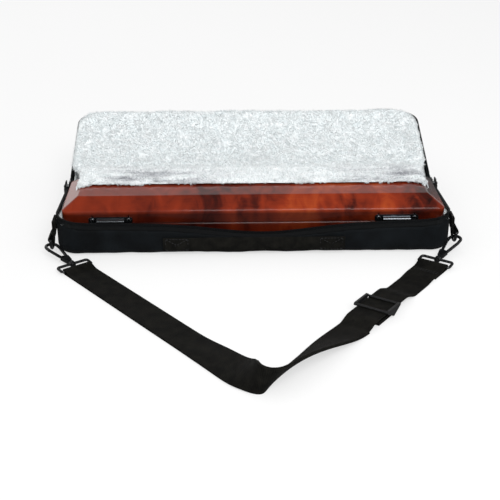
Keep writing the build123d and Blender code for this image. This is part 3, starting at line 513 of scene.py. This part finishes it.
def pad_from(name, rings):
    """A closed pad from rings: each is a list of places, joined to the next, and capped."""
    shape = bmesh.new()
    bmesh.ops.create_circle(shape, segments=len(rings[0]), radius=1)
    spot = shape.verts.layers.int.new("spot")
    for i, v in enumerate(shape.verts):
        v[spot] = i
        v.co = rings[0][i]
    edge = shape.edges[:]
    bmesh.ops.contextual_create(shape, geom=edge)
    for ring in rings[1:]:
        made = bmesh.ops.extrude_edge_only(shape, edges=edge)["geom"]
        edge = [g for g in made if isinstance(g, bmesh.types.BMEdge)
                and all(v in made for v in g.verts)]
        for v in (g for g in made if isinstance(g, bmesh.types.BMVert)):
            v.co = ring[v[spot]]
    bmesh.ops.contextual_create(shape, geom=edge)
    bmesh.ops.triangulate(shape, faces=[f for f in shape.faces if len(f.verts) > 4])
    bmesh.ops.recalc_face_normals(shape, faces=shape.faces)
    return piece_from(shape, name, plush)


def rounded_plan(half_x, low_y, high_y, radius):
    """Places round a rectangle with rounded corners, spaced evenly."""
    low, high = Vector((-half_x, low_y)), Vector((half_x, high_y))
    radius = min(radius, (high_y - low_y) / 2 - 1e-6)
    runs = [("line", (high.x, low.y + radius), (high.x, high.y - radius)),
            ("arc", (high.x - radius, high.y - radius), 0),
            ("line", (high.x - radius, high.y), (low.x + radius, high.y)),
            ("arc", (low.x + radius, high.y - radius), 90),
            ("line", (low.x, high.y - radius), (low.x, low.y + radius)),
            ("arc", (low.x + radius, low.y + radius), 180),
            ("line", (low.x + radius, low.y), (high.x - radius, low.y)),
            ("arc", (high.x - radius, low.y + radius), 270)]
    dense = []
    for kind, first, second in runs:
        for k in range(run_steps):
            if kind == "line":
                dense.append(Vector(first).lerp(Vector(second), k / run_steps))
            else:
                angle = math.radians(second + 90 * k / run_steps)
                dense.append(Vector(first)
                             + radius * Vector((math.cos(angle), math.sin(angle))))
    far = [0.0]
    for here, there in zip(dense, dense[1:] + dense[:1]):
        far.append(far[-1] + (there - here).length)
    dense.append(dense[0])
    wanted = np.linspace(0, far[-1], plan_points, endpoint=False)
    xs = np.interp(wanted, far, [d.x for d in dense])
    ys = np.interp(wanted, far, [d.y for d in dense])
    return list(zip(xs, ys))


# ---------------------------------------------------------------- the zip cover
lid_hinge = Vector((0, fold_y, rim_rear))
lid_turn = Matrix.Rotation(-lid_angle, 4, "X")


def lid_place(x, y, z):
    """A point of the shut lid, turned open with it."""
    return lid_hinge + lid_turn @ (Vector((x, y, z)) - lid_hinge)


lid_inward = (lid_place(0, 0, 0) - lid_place(0, 0, 1)).normalized()

base_cloth = copy_of("cover_base_shell", "cover_base", nylon, cloth_voxel)
push(base_cloth, ripples((0.9, 0.034), (0.35, 0.011)))
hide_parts("cover_base_shell")
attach(base_cloth, "cover")

lid_cloth = copy_of("cover_lid_shell", "cover_lid_cloth", nylon, cloth_voxel)
push(lid_cloth, ripples((1.0, 0.04), (0.35, 0.012)))
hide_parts("cover_lid_shell")
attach(lid_cloth, "cover_lid")

base_backing = copy_of("cover_base_lining", "base_lining_cloth", plush, lining_voxel)
push(base_backing, ripples((0.5, 0.012)))
base_pile = tufts(
    "base_pile", base_backing,
    lambda p, n: p.z > 20 * mm and n.z > 0.5 and (abs(p.x) > 190 * mm or p.y > 50 * mm),
    count=int(14000 * few), length=5.0 * mm, radius=0.4 * mm, seed=5, spread=0.45,
)
base_plush = join("base_plush", [base_backing, base_pile])
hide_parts("cover_base_lining")
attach(base_plush, "cover")

lid_backing = copy_of("cover_lid_lining", "lid_plush", plush, lining_voxel)
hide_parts("cover_lid_lining")
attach(lid_backing, "cover_lid")

# The lid's plush is a thick pillow on its lining. It swells over the rim all round and
# sinks toward the middle. Its places are those of the shut lid, turned open.
lid_floor = 57.0 * mm
plush_rear = 57 * mm
pillow_shift = 1.2 * mm


def lid_rim(y):
    """Height of the shut lid's rim, which rises from the fold to the front."""
    return 36.6 * mm + (8 / 126.8) * (fold_y - y)


# Each ring: inset from the cover's edge in millimetres, share of the way from the lid's
# floor to its rim, and how far it stands proud of that in millimetres.
lid_rings = []
for inset, share, proud in (
    (30, 0.03, 0), (9, 0.03, 0), (6.9, 0.2, 0), (6.5, 0.75, 0), (5.4, 0.93, 0), (3.0, 1.0, 1.0),
    (2.0, 1.0, 2.2), (2.4, 1.0, 3.4), (4.6, 1.0, 4.3), (9, 1.0, 4.0), (16, 1.0, 2.0),
    (26, 1.0, -0.8), (38, 1.0, -3.4), (50, 1.0, -4.8),
):
    plan = rounded_plan(half_length - (inset + 1.3) * mm, -half_depth + inset * mm,
                        plush_rear - max(inset - 3, 0) * mm, max(27 - inset, 5) * mm)
    lid_rings.append([
        lid_place(x - pillow_shift, y,
                  lid_floor * (1 - share) + lid_rim(y) * share - proud * mm)
        for x, y in plan
    ])
lid_field = remeshed(pad_from("lid_plush_pile", lid_rings), pillow_voxel, plush)
push(lid_field, ripples((1.4, 0.036), (0.6, 0.010), (0.45, 0.0036),
                        where=lambda n: n.dot(lid_inward) > 0.2))
field_pile = tufts(
    "lid_pile", lid_field, lambda p, n: n.dot(lid_inward) > 0.0,
    count=int(50000 * few), length=2.5 * mm, radius=0.36 * mm, seed=11, spread=0.8,
)
rim_pile = tufts(
    "rim_pile", lid_field,
    lambda p, n: -0.1 < n.dot(lid_inward) < 0.9 and (abs(p.x) > 150 * mm or p.y > 100 * mm),
    count=int(8000 * few), length=3.0 * mm, radius=0.36 * mm, seed=12, spread=0.6,
)
lid_field = join("lid_plush_pile", [lid_field, field_pile, rim_pile])
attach(lid_field, "cover_lid")
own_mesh(lid_field)

# Where the two linings meet at the fold, the plush bulges forward over the wood's rear.
# Its outline in millimetres, as (y, z): the underside on the wood, and then the top.
fold_outline = [
    (-9, 57.4), (-7.5, 56.9), (0, 56.6), (12, 56.6), (23.9, 56.7), (32, 51.4), (40.9, 46.6),
    (46.5, 44.6), (50, 40.5), (57, 37.6), (61, 40), (61.5, 45), (58, 51.5), (49, 56.6),
    (39, 58.2), (28, 58.6), (16, 58.6), (5, 58.4), (-3, 58.1), (-7.5, 57.8),
]
bevel_x, bevel_y, bevel_slope = 180.5, 24, 0.69  # where the wood's bevel starts, and its drop
fold_lowest = 37
fold_middle_y, fold_middle_z = 24.0, 57.5


def held(share):
    """A share kept between 0 and 1."""
    return min(max(share, 0), 1)


def fold_spot(x, y, z):
    """A place of the rear bulge, which drops with the wood's bevel at both ends."""
    over = max(abs(x) - bevel_x, 0)
    drop = bevel_slope * over * held((46 - y) / 16) if y > bevel_y else bevel_slope * over
    wave = 1.6 * noise.noise(Vector((x / 31, 0.3, 0))) if y < 12 else 0
    ahead = 9 * held((abs(x) - 172) / 12) * held((20 - y) / 20)
    return Vector((x, y + wave - ahead, max(z - drop, fold_lowest))) * mm


rear_rings = []
for x, share in ((-187, 0.2), (-186.6, 0.75), (-185, 1), *((x, 1) for x in range(-180, 181, 6)),
                 (185, 1), (186.6, 0.75), (187, 0.2)):
    rear_rings.append([
        fold_spot(x, fold_middle_y + (y - fold_middle_y) * (1 - (1 - share) * 0.12),
                  z if share == 1 else fold_middle_z + (z - fold_middle_z) * share)
        for y, z in fold_outline
    ])
rear_fold = remeshed(pad_from("rear_plush_fold", rear_rings), fold_voxel, plush)
push(rear_fold, ripples((0.5, 0.02), (0.4, 0.009), (0.45, 0.0036), where=lambda n: n.z > 0.1))
fold_pile = tufts(
    "fold_pile", rear_fold, lambda p, n: n.z > -0.1 and not (p.y < 0.03 and n.z < 0.0),
    count=int(15000 * few), length=2.1 * mm, radius=0.36 * mm, seed=21, spread=0.8,
)
edge_pile = tufts(
    "edge_pile", rear_fold, lambda p, n: p.y < 0.002 and n.y < -0.2 and n.z > -0.35,
    count=int(7000 * few), length=3.0 * mm, radius=0.36 * mm, seed=22, spread=0.9,
)
rear_fold = join("rear_plush_fold", [rear_fold, fold_pile, edge_pile])
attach(rear_fold, "cover")
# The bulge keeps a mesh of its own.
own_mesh(rear_fold)

# Each zip tape has a hem: the same band again, a little further down its wall.
hem_drop = 2.2 * mm
for node, body in (("base_zipper_tape", "cover"), ("lid_zipper_tape", "cover_lid")):
    tape, hem = (copy_of(node, "tape", zip_tape) for _ in range(2))
    sunk = hem_drop * (lid_inward if "lid" in node else Vector((0, 0, -1)))
    for v in hem.data.vertices:
        v.co += sunk
    tape = join(node.replace("zipper_tape", "zip_tape"), [tape, hem])
    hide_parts(node)
    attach(tape, body)
fold_cloth = copy_of("hinge_fabric", "fold_cloth", nylon)
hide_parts("hinge_fabric")
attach(fold_cloth, "cover")


# ---------------------------------------------------------------- on the wood
# The photo shows the keeper plates and their screws lower than the solid model has them.
plate_share = 0.58
screw_height = 35.9 * mm
keeper_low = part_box("latch_keeper_left")[0][2]
for side in ("left", "right"):
    plate = copy_of(f"latch_keeper_{side}", f"keeper_plate_{side}", chrome)
    for v in plate.data.vertices:
        v.co.z = keeper_low + (v.co.z - keeper_low) * plate_share
    plate.data.shade_flat()
    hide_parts(f"latch_keeper_{side}")
    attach(plate, "wood_case_lid")
screws = copy_of("keeper_screws", "keeper_screw_heads", chrome)
low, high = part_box("keeper_screws")
for v in screws.data.vertices:
    v.co.z += screw_height - (low[2] + high[2]) / 2
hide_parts("keeper_screws")
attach(screws, "wood_case_lid")

cushion = copy_of("lid_pad", "lid_cushion", velvet, cushion_voxel)
push(cushion, lambda p, n: 0.3 * mm * noise.noise(p / 0.016) - 0.1 * mm)
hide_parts("lid_pad")
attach(cushion, "wood_case_lid")


# ---------------------------------------------------------------- webbing
def ribbon(name, line, width, across=12):
    """Webbing along a line of (place, width direction), with its run in a UV map."""
    shape = bmesh.new()
    along = len(line) - 1
    bmesh.ops.create_grid(shape, x_segments=along, y_segments=across, size=0.5)
    run = [0.0]
    for (here, _), (there, _) in zip(line, line[1:]):
        run.append(run[-1] + (there - here).length)
    sheet = shape.loops.layers.uv.new("along")
    spots = {v: (round((v.co.x + 0.5) * along), v.co.y) for v in shape.verts}
    for v, (i, share) in spots.items():
        place, sideways = line[i]
        v.co = place + sideways * (share * width)
    for face in shape.faces:
        for loop in face.loops:
            i, share = spots[loop.vert]
            loop[sheet].uv = (run[i], share * width)
    piece = piece_from(shape, name, webbing_cloth)
    solid = piece.modifiers.new("thickness", "SOLIDIFY")
    solid.thickness = webbing
    solid.offset = 0
    solid.use_even_offset = True
    soft = piece.modifiers.new("edges", "BEVEL")
    soft.width = 0.35 * mm
    soft.segments = 2
    soft.limit_method = "ANGLE"
    return settle(piece)


def ease(share):
    """A share from 0 to 1 that starts and ends gently."""
    return share ** 2 * (3 - 2 * share)


def smooth_through(stops, x):
    """A smooth curve through (x, y) stops, flat at each."""
    for (x0, y0), (x1, y1) in zip(stops, stops[1:]):
        if x <= x1:
            share = min(max((x - x0) / (x1 - x0), 0), 1)
            return y0 + (y1 - y0) * share * share * (3 - 2 * share)
    return stops[-1][1]


# The doubled strap's run from the left hook to the right one, near that of the solid model,
# in millimetres: x, y and how far the webbing has rolled over, in degrees.
stations = [
    (-61.7, -251.6, 0), (-48.7, -269.5, 5), (-35.2, -288.5, 12), (-24.0, -305.0, 17),
    (-15.0, -320.5, 36), (-8.5, -334.5, 82), (-3.0, -344.0, 106), (5.0, -341.0, 122),
    (13.0, -326.0, 130), (25.0, -308.5, 136), (42.5, -286.0, 148), (60.5, -260.5, 166),
]
strap_heading = {"left": 126.87, "right": 54.5}  # from each strap loop to its D-ring
ring_radius, ring_drop = 12.0, 7.0
loop_bar, hook_eye = 57.0, 4.6  # along a hook, from the end that holds the ring
bar_height, loop_bar_radius, adjuster_bar_radius = 3.0, 2.35, 1.85
half_strap, flat_height, layer_gap = 15.0, 1.45, 0.8
right_straight = 165.0  # length of the straight run behind the right hook
run_spread, edge_spread = 5.0, 9.0
strap_end = {}
for side, way in (("left", -1), ("right", 1)):
    reach = math.sqrt(ring_radius ** 2 - ring_drop ** 2)
    grip = Vector((way * ring_x, ring_y - reach, ring_height[side] - ring_drop))
    climb = (grip.z - bar_height) / (loop_bar - hook_eye)
    flat = math.sqrt(1 - climb ** 2)
    turn = math.radians(strap_heading[side])
    aim = Vector((math.cos(turn) * flat, math.sin(turn) * flat, climb))
    strap_end[side] = grip + aim * (hook_eye - loop_bar)

left_point, right_point = strap_end["left"].copy(), strap_end["right"].copy()
left_point.z = right_point.z = 0
right_turn = math.radians(strap_heading["right"])
right_way = Vector((-math.cos(right_turn), -math.sin(right_turn), 0))
joined = right_point + right_way * right_straight
table = np.array([(left_point.x, left_point.y, 0.0)] + stations + [
    (joined.x, joined.y, 180.0), (right_point.x, right_point.y, 180.0)])
reach = np.concatenate([[0], np.cumsum(np.hypot(*np.diff(table[:, :2], axis=0).T))])
total = reach[-1]


def between(column, s):
    """A column of the run at a distance: a smooth curve, straight at both ends."""
    i = int(np.clip(np.searchsorted(reach, s) - 1, 0, len(reach) - 2))
    share = (s - reach[i]) / (reach[i + 1] - reach[i])
    if i in (0, len(reach) - 2):
        return table[i, column] * (1 - share) + table[i + 1, column] * share
    before, after = table[i - 1, column], table[i + 2, column]
    here, there = table[i, column], table[i + 1, column]
    span = reach[i + 1] - reach[i]
    m0 = (there - before) / (reach[i + 1] - reach[i - 1]) * span
    m1 = (after - here) / (reach[i + 2] - reach[i]) * span
    s2, s3 = share * share, share ** 3
    return ((2 * s3 - 3 * s2 + 1) * here + (s3 - 2 * s2 + share) * m0
            + (3 * s2 - 2 * s3) * there + (s3 - s2) * m1)


def eased(values, spread):
    """A column smoothed over some millimetres, with its ends kept."""
    bell = np.exp(-0.5 * (np.arange(-30, 31) / spread) ** 2)
    padded = np.concatenate([2 * values[0] - values[30:0:-1], values,
                             2 * values[-1] - values[-2:-32:-1]])
    return np.convolve(padded, bell / bell.sum(), "valid")


# The run is eased first, and then the webbing's two edges, so that it rolls over without
# a crease. Every millimetre of the run has a place.
even_s = np.arange(0, total + 1, 1.0)
middles = [eased(np.array([between(c, min(s, total)) for s in even_s]), run_spread)
           for c in range(3)]
ways = np.gradient(np.array(middles[:2]), axis=1)
ways /= np.linalg.norm(ways, axis=0)
rolls = np.radians(np.clip(middles[2], 0, 180))
across = np.array([-ways[1] * np.cos(rolls), ways[0] * np.cos(rolls), np.sin(rolls)])
heights = half_strap * np.sin(rolls) + flat_height * np.abs(np.cos(rolls))
centre = np.array([middles[0], middles[1], heights])
edges = [[eased(column, edge_spread) for column in centre + side * half_strap * across]
         for side in (-1, 1)]


def edge_spots(s):
    """The places of the doubled strap's two edges at a distance."""
    return [Vector([np.interp(s, even_s, column) for column in edge]) for edge in edges]


def strap_spot(s):
    """Middle, width direction and through direction of the doubled strap at a distance."""
    near, far = edge_spots(s)
    before, after = (
        sum(edge_spots(at), Vector()) for at in (max(s - 1, 0), min(s + 1, total)))
    width_way = (far - near) / (2 * half_strap)
    through = (after - before).cross(width_way).normalized()
    return (near + far) / 2, width_way, through


# Heights in millimetres near the hooks, by distance from the strap loop: over the left
# loop's bar, and over the right loop's bar, the strap's own end and the adjuster's bars.
left_rise = [(0, 5.35), (14, 2.25), (400, 2.25)]
right_rise = [(0, 5.35), (14, 2.25), (28, 2.25), (45, 0.65), (68, 0.65), (90, 6.55),
              (147, 6.55), (165, 2.25), (400, 2.25)]


def layer_spot(s, which):
    """A point and width direction of one layer, in metres: -1 the run, 1 the return."""
    middle, width_way, through = strap_spot(s)
    place = middle + through * (layer_gap * which)
    left_over = total - s
    if which < 0 and left_over < right_straight:
        place.z = smooth_through(right_rise, left_over)
    if which > 0 and s < 14:
        place.z = smooth_through(left_rise, s)
    return place * mm, width_way


def round_the_bar(side):
    """The half turn of the webbing round the bar of a strap loop, from below to above."""
    end, s = (left_point, 0.0) if side == "left" else (right_point, total)
    away = -right_way if side == "right" else Vector((-0.6, 0.8, 0))
    _, width_way, _ = strap_spot(s)
    return [
        ((end + away * loop_bar_radius * math.sin(a)
          + Vector((0, 0, bar_height - loop_bar_radius * math.cos(a)))) * mm, width_way)
        for a in (math.radians(d) for d in range(15, 180, 15))
    ]


# One length of webbing: its end under the right loop, round that loop's bar, along the run
# to the left loop, round its bar, and back on the other layer to the adjuster.
tuck = 26  # length of the end under the right loop
adjuster_at = 120.0  # from the right loop to the adjuster's middle bar
back_to = 159  # from the right loop to the end of the return layer
steps = np.linspace(total, 0, int(total / 2.5))
line = []
for t in np.linspace(tuck, 1, 12):
    place, width_way = layer_spot(total - t, -1)
    place.z = webbing / 2
    line.append((place, width_way))
line += round_the_bar("right")
line += [layer_spot(s, -1) for s in steps[1:-1]]
line += round_the_bar("left")
line += [layer_spot(s, 1) for s in reversed(steps[1:-1]) if s < total - back_to]
strap = ribbon("shoulder_strap_webbing", line, strap_width)
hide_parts("shoulder_strap")
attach(strap, "cover")

# The return layer's end is sewn round the adjuster's middle bar, as a piece of its own.
bar = right_point + right_way * adjuster_at
_, tail_across, _ = strap_spot(total - adjuster_at)
tail_line = []
for t in np.linspace(144, 121, 12):
    tail_line.append(((right_point + right_way * t + Vector((0, 0, 1.15))) * mm, tail_across))
for a in (math.radians(d) for d in range(0, 181, 15)):
    turned = Vector((0, 0, bar_height - adjuster_bar_radius * math.cos(a)))
    tail_line.append(((bar - right_way * adjuster_bar_radius * math.sin(a) + turned) * mm,
                      tail_across))
for t in np.linspace(121, 144, 14):
    height = smooth_through([(120, 4.85), (132, 2.55), (200, 2.55)], t)
    tail_line.append(((right_point + right_way * t + Vector((0, 0, height))) * mm, tail_across))
tail = ribbon("strap_tail_webbing", tail_line, strap_width)
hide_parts("strap_tail")
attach(tail, "adjuster")


def wall_y(z):
    """The front wall's outer face, with its lean and its rounded lower edge."""
    y = -half_depth + wall_lean * (rim_front - z)
    if z < cover_rounding:
        y += cover_rounding - math.sqrt(cover_rounding ** 2 - (cover_rounding - z) ** 2)
    return y


handle_height, handle_half, handle_width = 12.0 * mm, 0.0935, 16.0 * mm
handle_line = [(Vector((x, 0, handle_height)), Vector((0, 0, 1)))
               for x in np.linspace(-handle_half, handle_half, 95)]
handle = ribbon("carrying_handle_webbing", handle_line, handle_width)
for v in handle.data.vertices:
    v.co.y += wall_y(v.co.z) - 0.9 * mm + 0.25 * mm * noise.noise(v.co / 0.02)
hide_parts("front_handle")
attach(handle, "cover")

# Each ring tab lies doubled on its end wall and goes round the D-ring's bar. Millimetres
# from the middle of the case: the inner layer, both sides of the bar, the outer layer.
tab_inner, bar_inner, bar_outer, tab_outer = 204.75, 206.55, 211.45, 206.15
tab_top, tab_bar_radius, tab_width = 36, 2.45, 20.0 * mm
for side, way in (("left", -1), ("right", 1)):
    z0 = ring_height[side]
    tab_line = []
    for z in np.linspace(tab_top, z0 + 9, 8):
        tab_line.append((tab_inner, z))
    for share in (k / 7 for k in range(1, 7)):
        tab_line.append((tab_inner + (bar_inner - tab_inner) * ease(share),
                         z0 + 9 * (1 - share)))
    for a in (math.radians(d) for d in range(0, 181, 20)):
        tab_line.append((ring_x - tab_bar_radius * math.cos(a),
                         z0 - tab_bar_radius * math.sin(a)))
    for share in (k / 8 for k in range(1, 8)):
        tab_line.append((bar_outer - (bar_outer - tab_outer) * ease(share), z0 + 10 * share))
    for z in np.linspace(z0 + 10, tab_top, 8):
        tab_line.append((tab_outer, z))
    tab = ribbon(
        f"ring_tab_webbing_{side}",
        [(Vector((way * x, ring_y, z)) * mm, Vector((0, 1, 0))) for x, z in tab_line],
        tab_width, 8,
    )
    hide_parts(f"ring_tab_{side}")
    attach(tab, "cover")


# ---------------------------------------------------------------- stitches
thread_gauge = 0.32 * mm


def stitches(name, lines, body, pitch=3.2 * mm):
    """Rows of short stitches: each line is (start, end, outward direction)."""
    shape = bmesh.new()
    for start, end, outward in lines:
        start, end, outward = Vector(start), Vector(end), Vector(outward)
        way = end - start
        count = max(1, int(way.length / pitch))
        turn = way.normalized().to_track_quat("Z", "Y").to_matrix().to_4x4()
        for k in range(count):
            middle = start + way * ((k + 0.5) / count) + outward * thread_gauge * 0.4
            bmesh.ops.create_uvsphere(
                shape, u_segments=6, v_segments=5, radius=1,
                matrix=Matrix.Translation(middle) @ turn
                @ Matrix.Diagonal((thread_gauge, thread_gauge, pitch * 0.4, 1)),
            )
    piece = piece_from(shape, name, thread)
    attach(piece, body)


def on_handle(x, z):
    """A place on the handle's outer face, from millimetres."""
    return (x * mm, wall_y(z * mm) - 1.75 * mm, z * mm)


# A box with a cross in it at each end of the handle, and two rows over the strap's end.
front = (0, -1, 0)
box_low, box_high = 5.5, 18.5
box_lines = []
for x0, x1 in ((-91, -68), (68, 91)):
    corners = [(x0, box_low), (x1, box_low), (x1, box_high), (x0, box_high)]
    for (a, b), (c, d) in zip(corners, corners[1:] + corners[:1]):
        box_lines.append((on_handle(a, b), on_handle(c, d), front))
    box_lines.append((on_handle(x0, box_low), on_handle(x1, box_high), front))
    box_lines.append((on_handle(x0, box_high), on_handle(x1, box_low), front))
stitches("handle_stitches", box_lines, "cover")

sewn = []
top_face = Vector((0, 0, 2.95))
row_half = 13
for t in (16.0, 19.0):
    spot = right_point + right_way * t
    sewn.append(((spot - tail_across * row_half + top_face) * mm,
                 (spot + tail_across * row_half + top_face) * mm, (0, 0, 1)))
stitches("strap_end_stitches", sewn, "cover", 2.6 * mm)

# ---------------------------------------------------------------- table, light and camera
# White paper. The camera sees it partly lit by itself, so that it stays white, and in
# mirroring faces it is dark, as in the photo's reflections.
white, paper, paper_shader = material(
    "white_paper_sweep",
    {"Roughness": 0.9, "Specular IOR Level": 0.1, "Base Color": linear("#fbfbfb")},
)
glow, dim = (
    add(paper, "Emission", {"Color": (1, 1, 1, 1), "Strength": power}).outputs[0]
    for power in (1.0, 0.1)
)
rays = add(paper, "LightPath").outputs
share = calc(paper, "MULTIPLY", rays["Is Camera Ray"], 0.6)
blend = add(paper, "MixShader", {}, {0: share, 1: paper_shader.outputs[0], 2: glow}).outputs[0]
blend = add(paper, "MixShader", {}, {0: rays["Is Glossy Ray"], 1: blend, 2: dim}).outputs[0]
paper.links.new(blend, paper.nodes["Material Output"].inputs["Surface"])
table_top = bmesh.new()
bmesh.ops.create_grid(table_top, x_segments=1, y_segments=1, size=3.0)
floor = piece_from(table_top, "floor", white, smooth=False)

# An even white studio. In mirroring faces it is bright at the horizon and dark above.
world = bpy.data.worlds.new("studio")
bpy.context.scene.world = world
world.use_nodes = True
sky = world.node_tree
background = sky.nodes["Background"]
rays = add(sky, "LightPath").outputs
seen = calc(sky, "MAXIMUM", rays["Is Camera Ray"], rays["Is Glossy Ray"])
strength = rescaled(sky, seen, low=0.72, high=1.0)
height = add(sky, "SeparateXYZ", {}, {0: add(sky, "TexCoord").outputs["Generated"]}).outputs["Z"]
above = rescaled(sky, height, 0.05, 0.5, 0.9, 0.12)
mirrored = add(sky, "MixRGB", {1: (1, 1, 1, 1)}, {0: rays["Is Glossy Ray"], 2: above})
sky.links.new(mirrored.outputs[0], background.inputs["Color"])
sky.links.new(strength, background.inputs["Strength"])


def lamp(name, place, target, size, power):
    """A square soft lamp aimed at a point."""
    light = bpy.data.lights.new(name, "AREA")
    light.shape = "SQUARE"
    light.size = size
    light.energy = power
    made = bpy.data.objects.new(name, light)
    made.location = place
    made.rotation_euler = (Vector(target) - Vector(place)).to_track_quat("-Z", "Y").to_euler()
    bpy.context.scene.collection.objects.link(made)


lamp("key", (0.3, -1.35, 1.15), target=(0, 0, 0), size=0.85, power=16)
lamp("back", (-0.5, 1.3, 1.2), target=(0, 0.05, 0.05), size=0.8, power=2)

# The camera stands 24 degrees above the table, 1.13 m from the middle of the front wall.
camera_distance = 1.130
focal_length, picture_side, sensor = 1098, 500, 36  # pixels, pixels, millimetres
lens = bpy.data.cameras.new("camera")
lens.sensor_width = sensor
lens.lens = sensor * focal_length / picture_side
camera = bpy.data.objects.new("camera", lens)
bpy.context.scene.collection.objects.link(camera)
azimuth, elevation = math.radians(1.5), math.radians(24)
outward = Vector((-math.sin(azimuth) * math.cos(elevation),
                  -math.cos(azimuth) * math.cos(elevation), math.sin(elevation)))
camera.location = Vector((-4.4, -63.5, 5.5)) * mm + outward * camera_distance
camera.rotation_euler = (-outward).to_track_quat("-Z", "Y").to_euler()
bpy.context.scene.camera = camera
bpy.context.scene.view_settings.view_transform = "Standard"
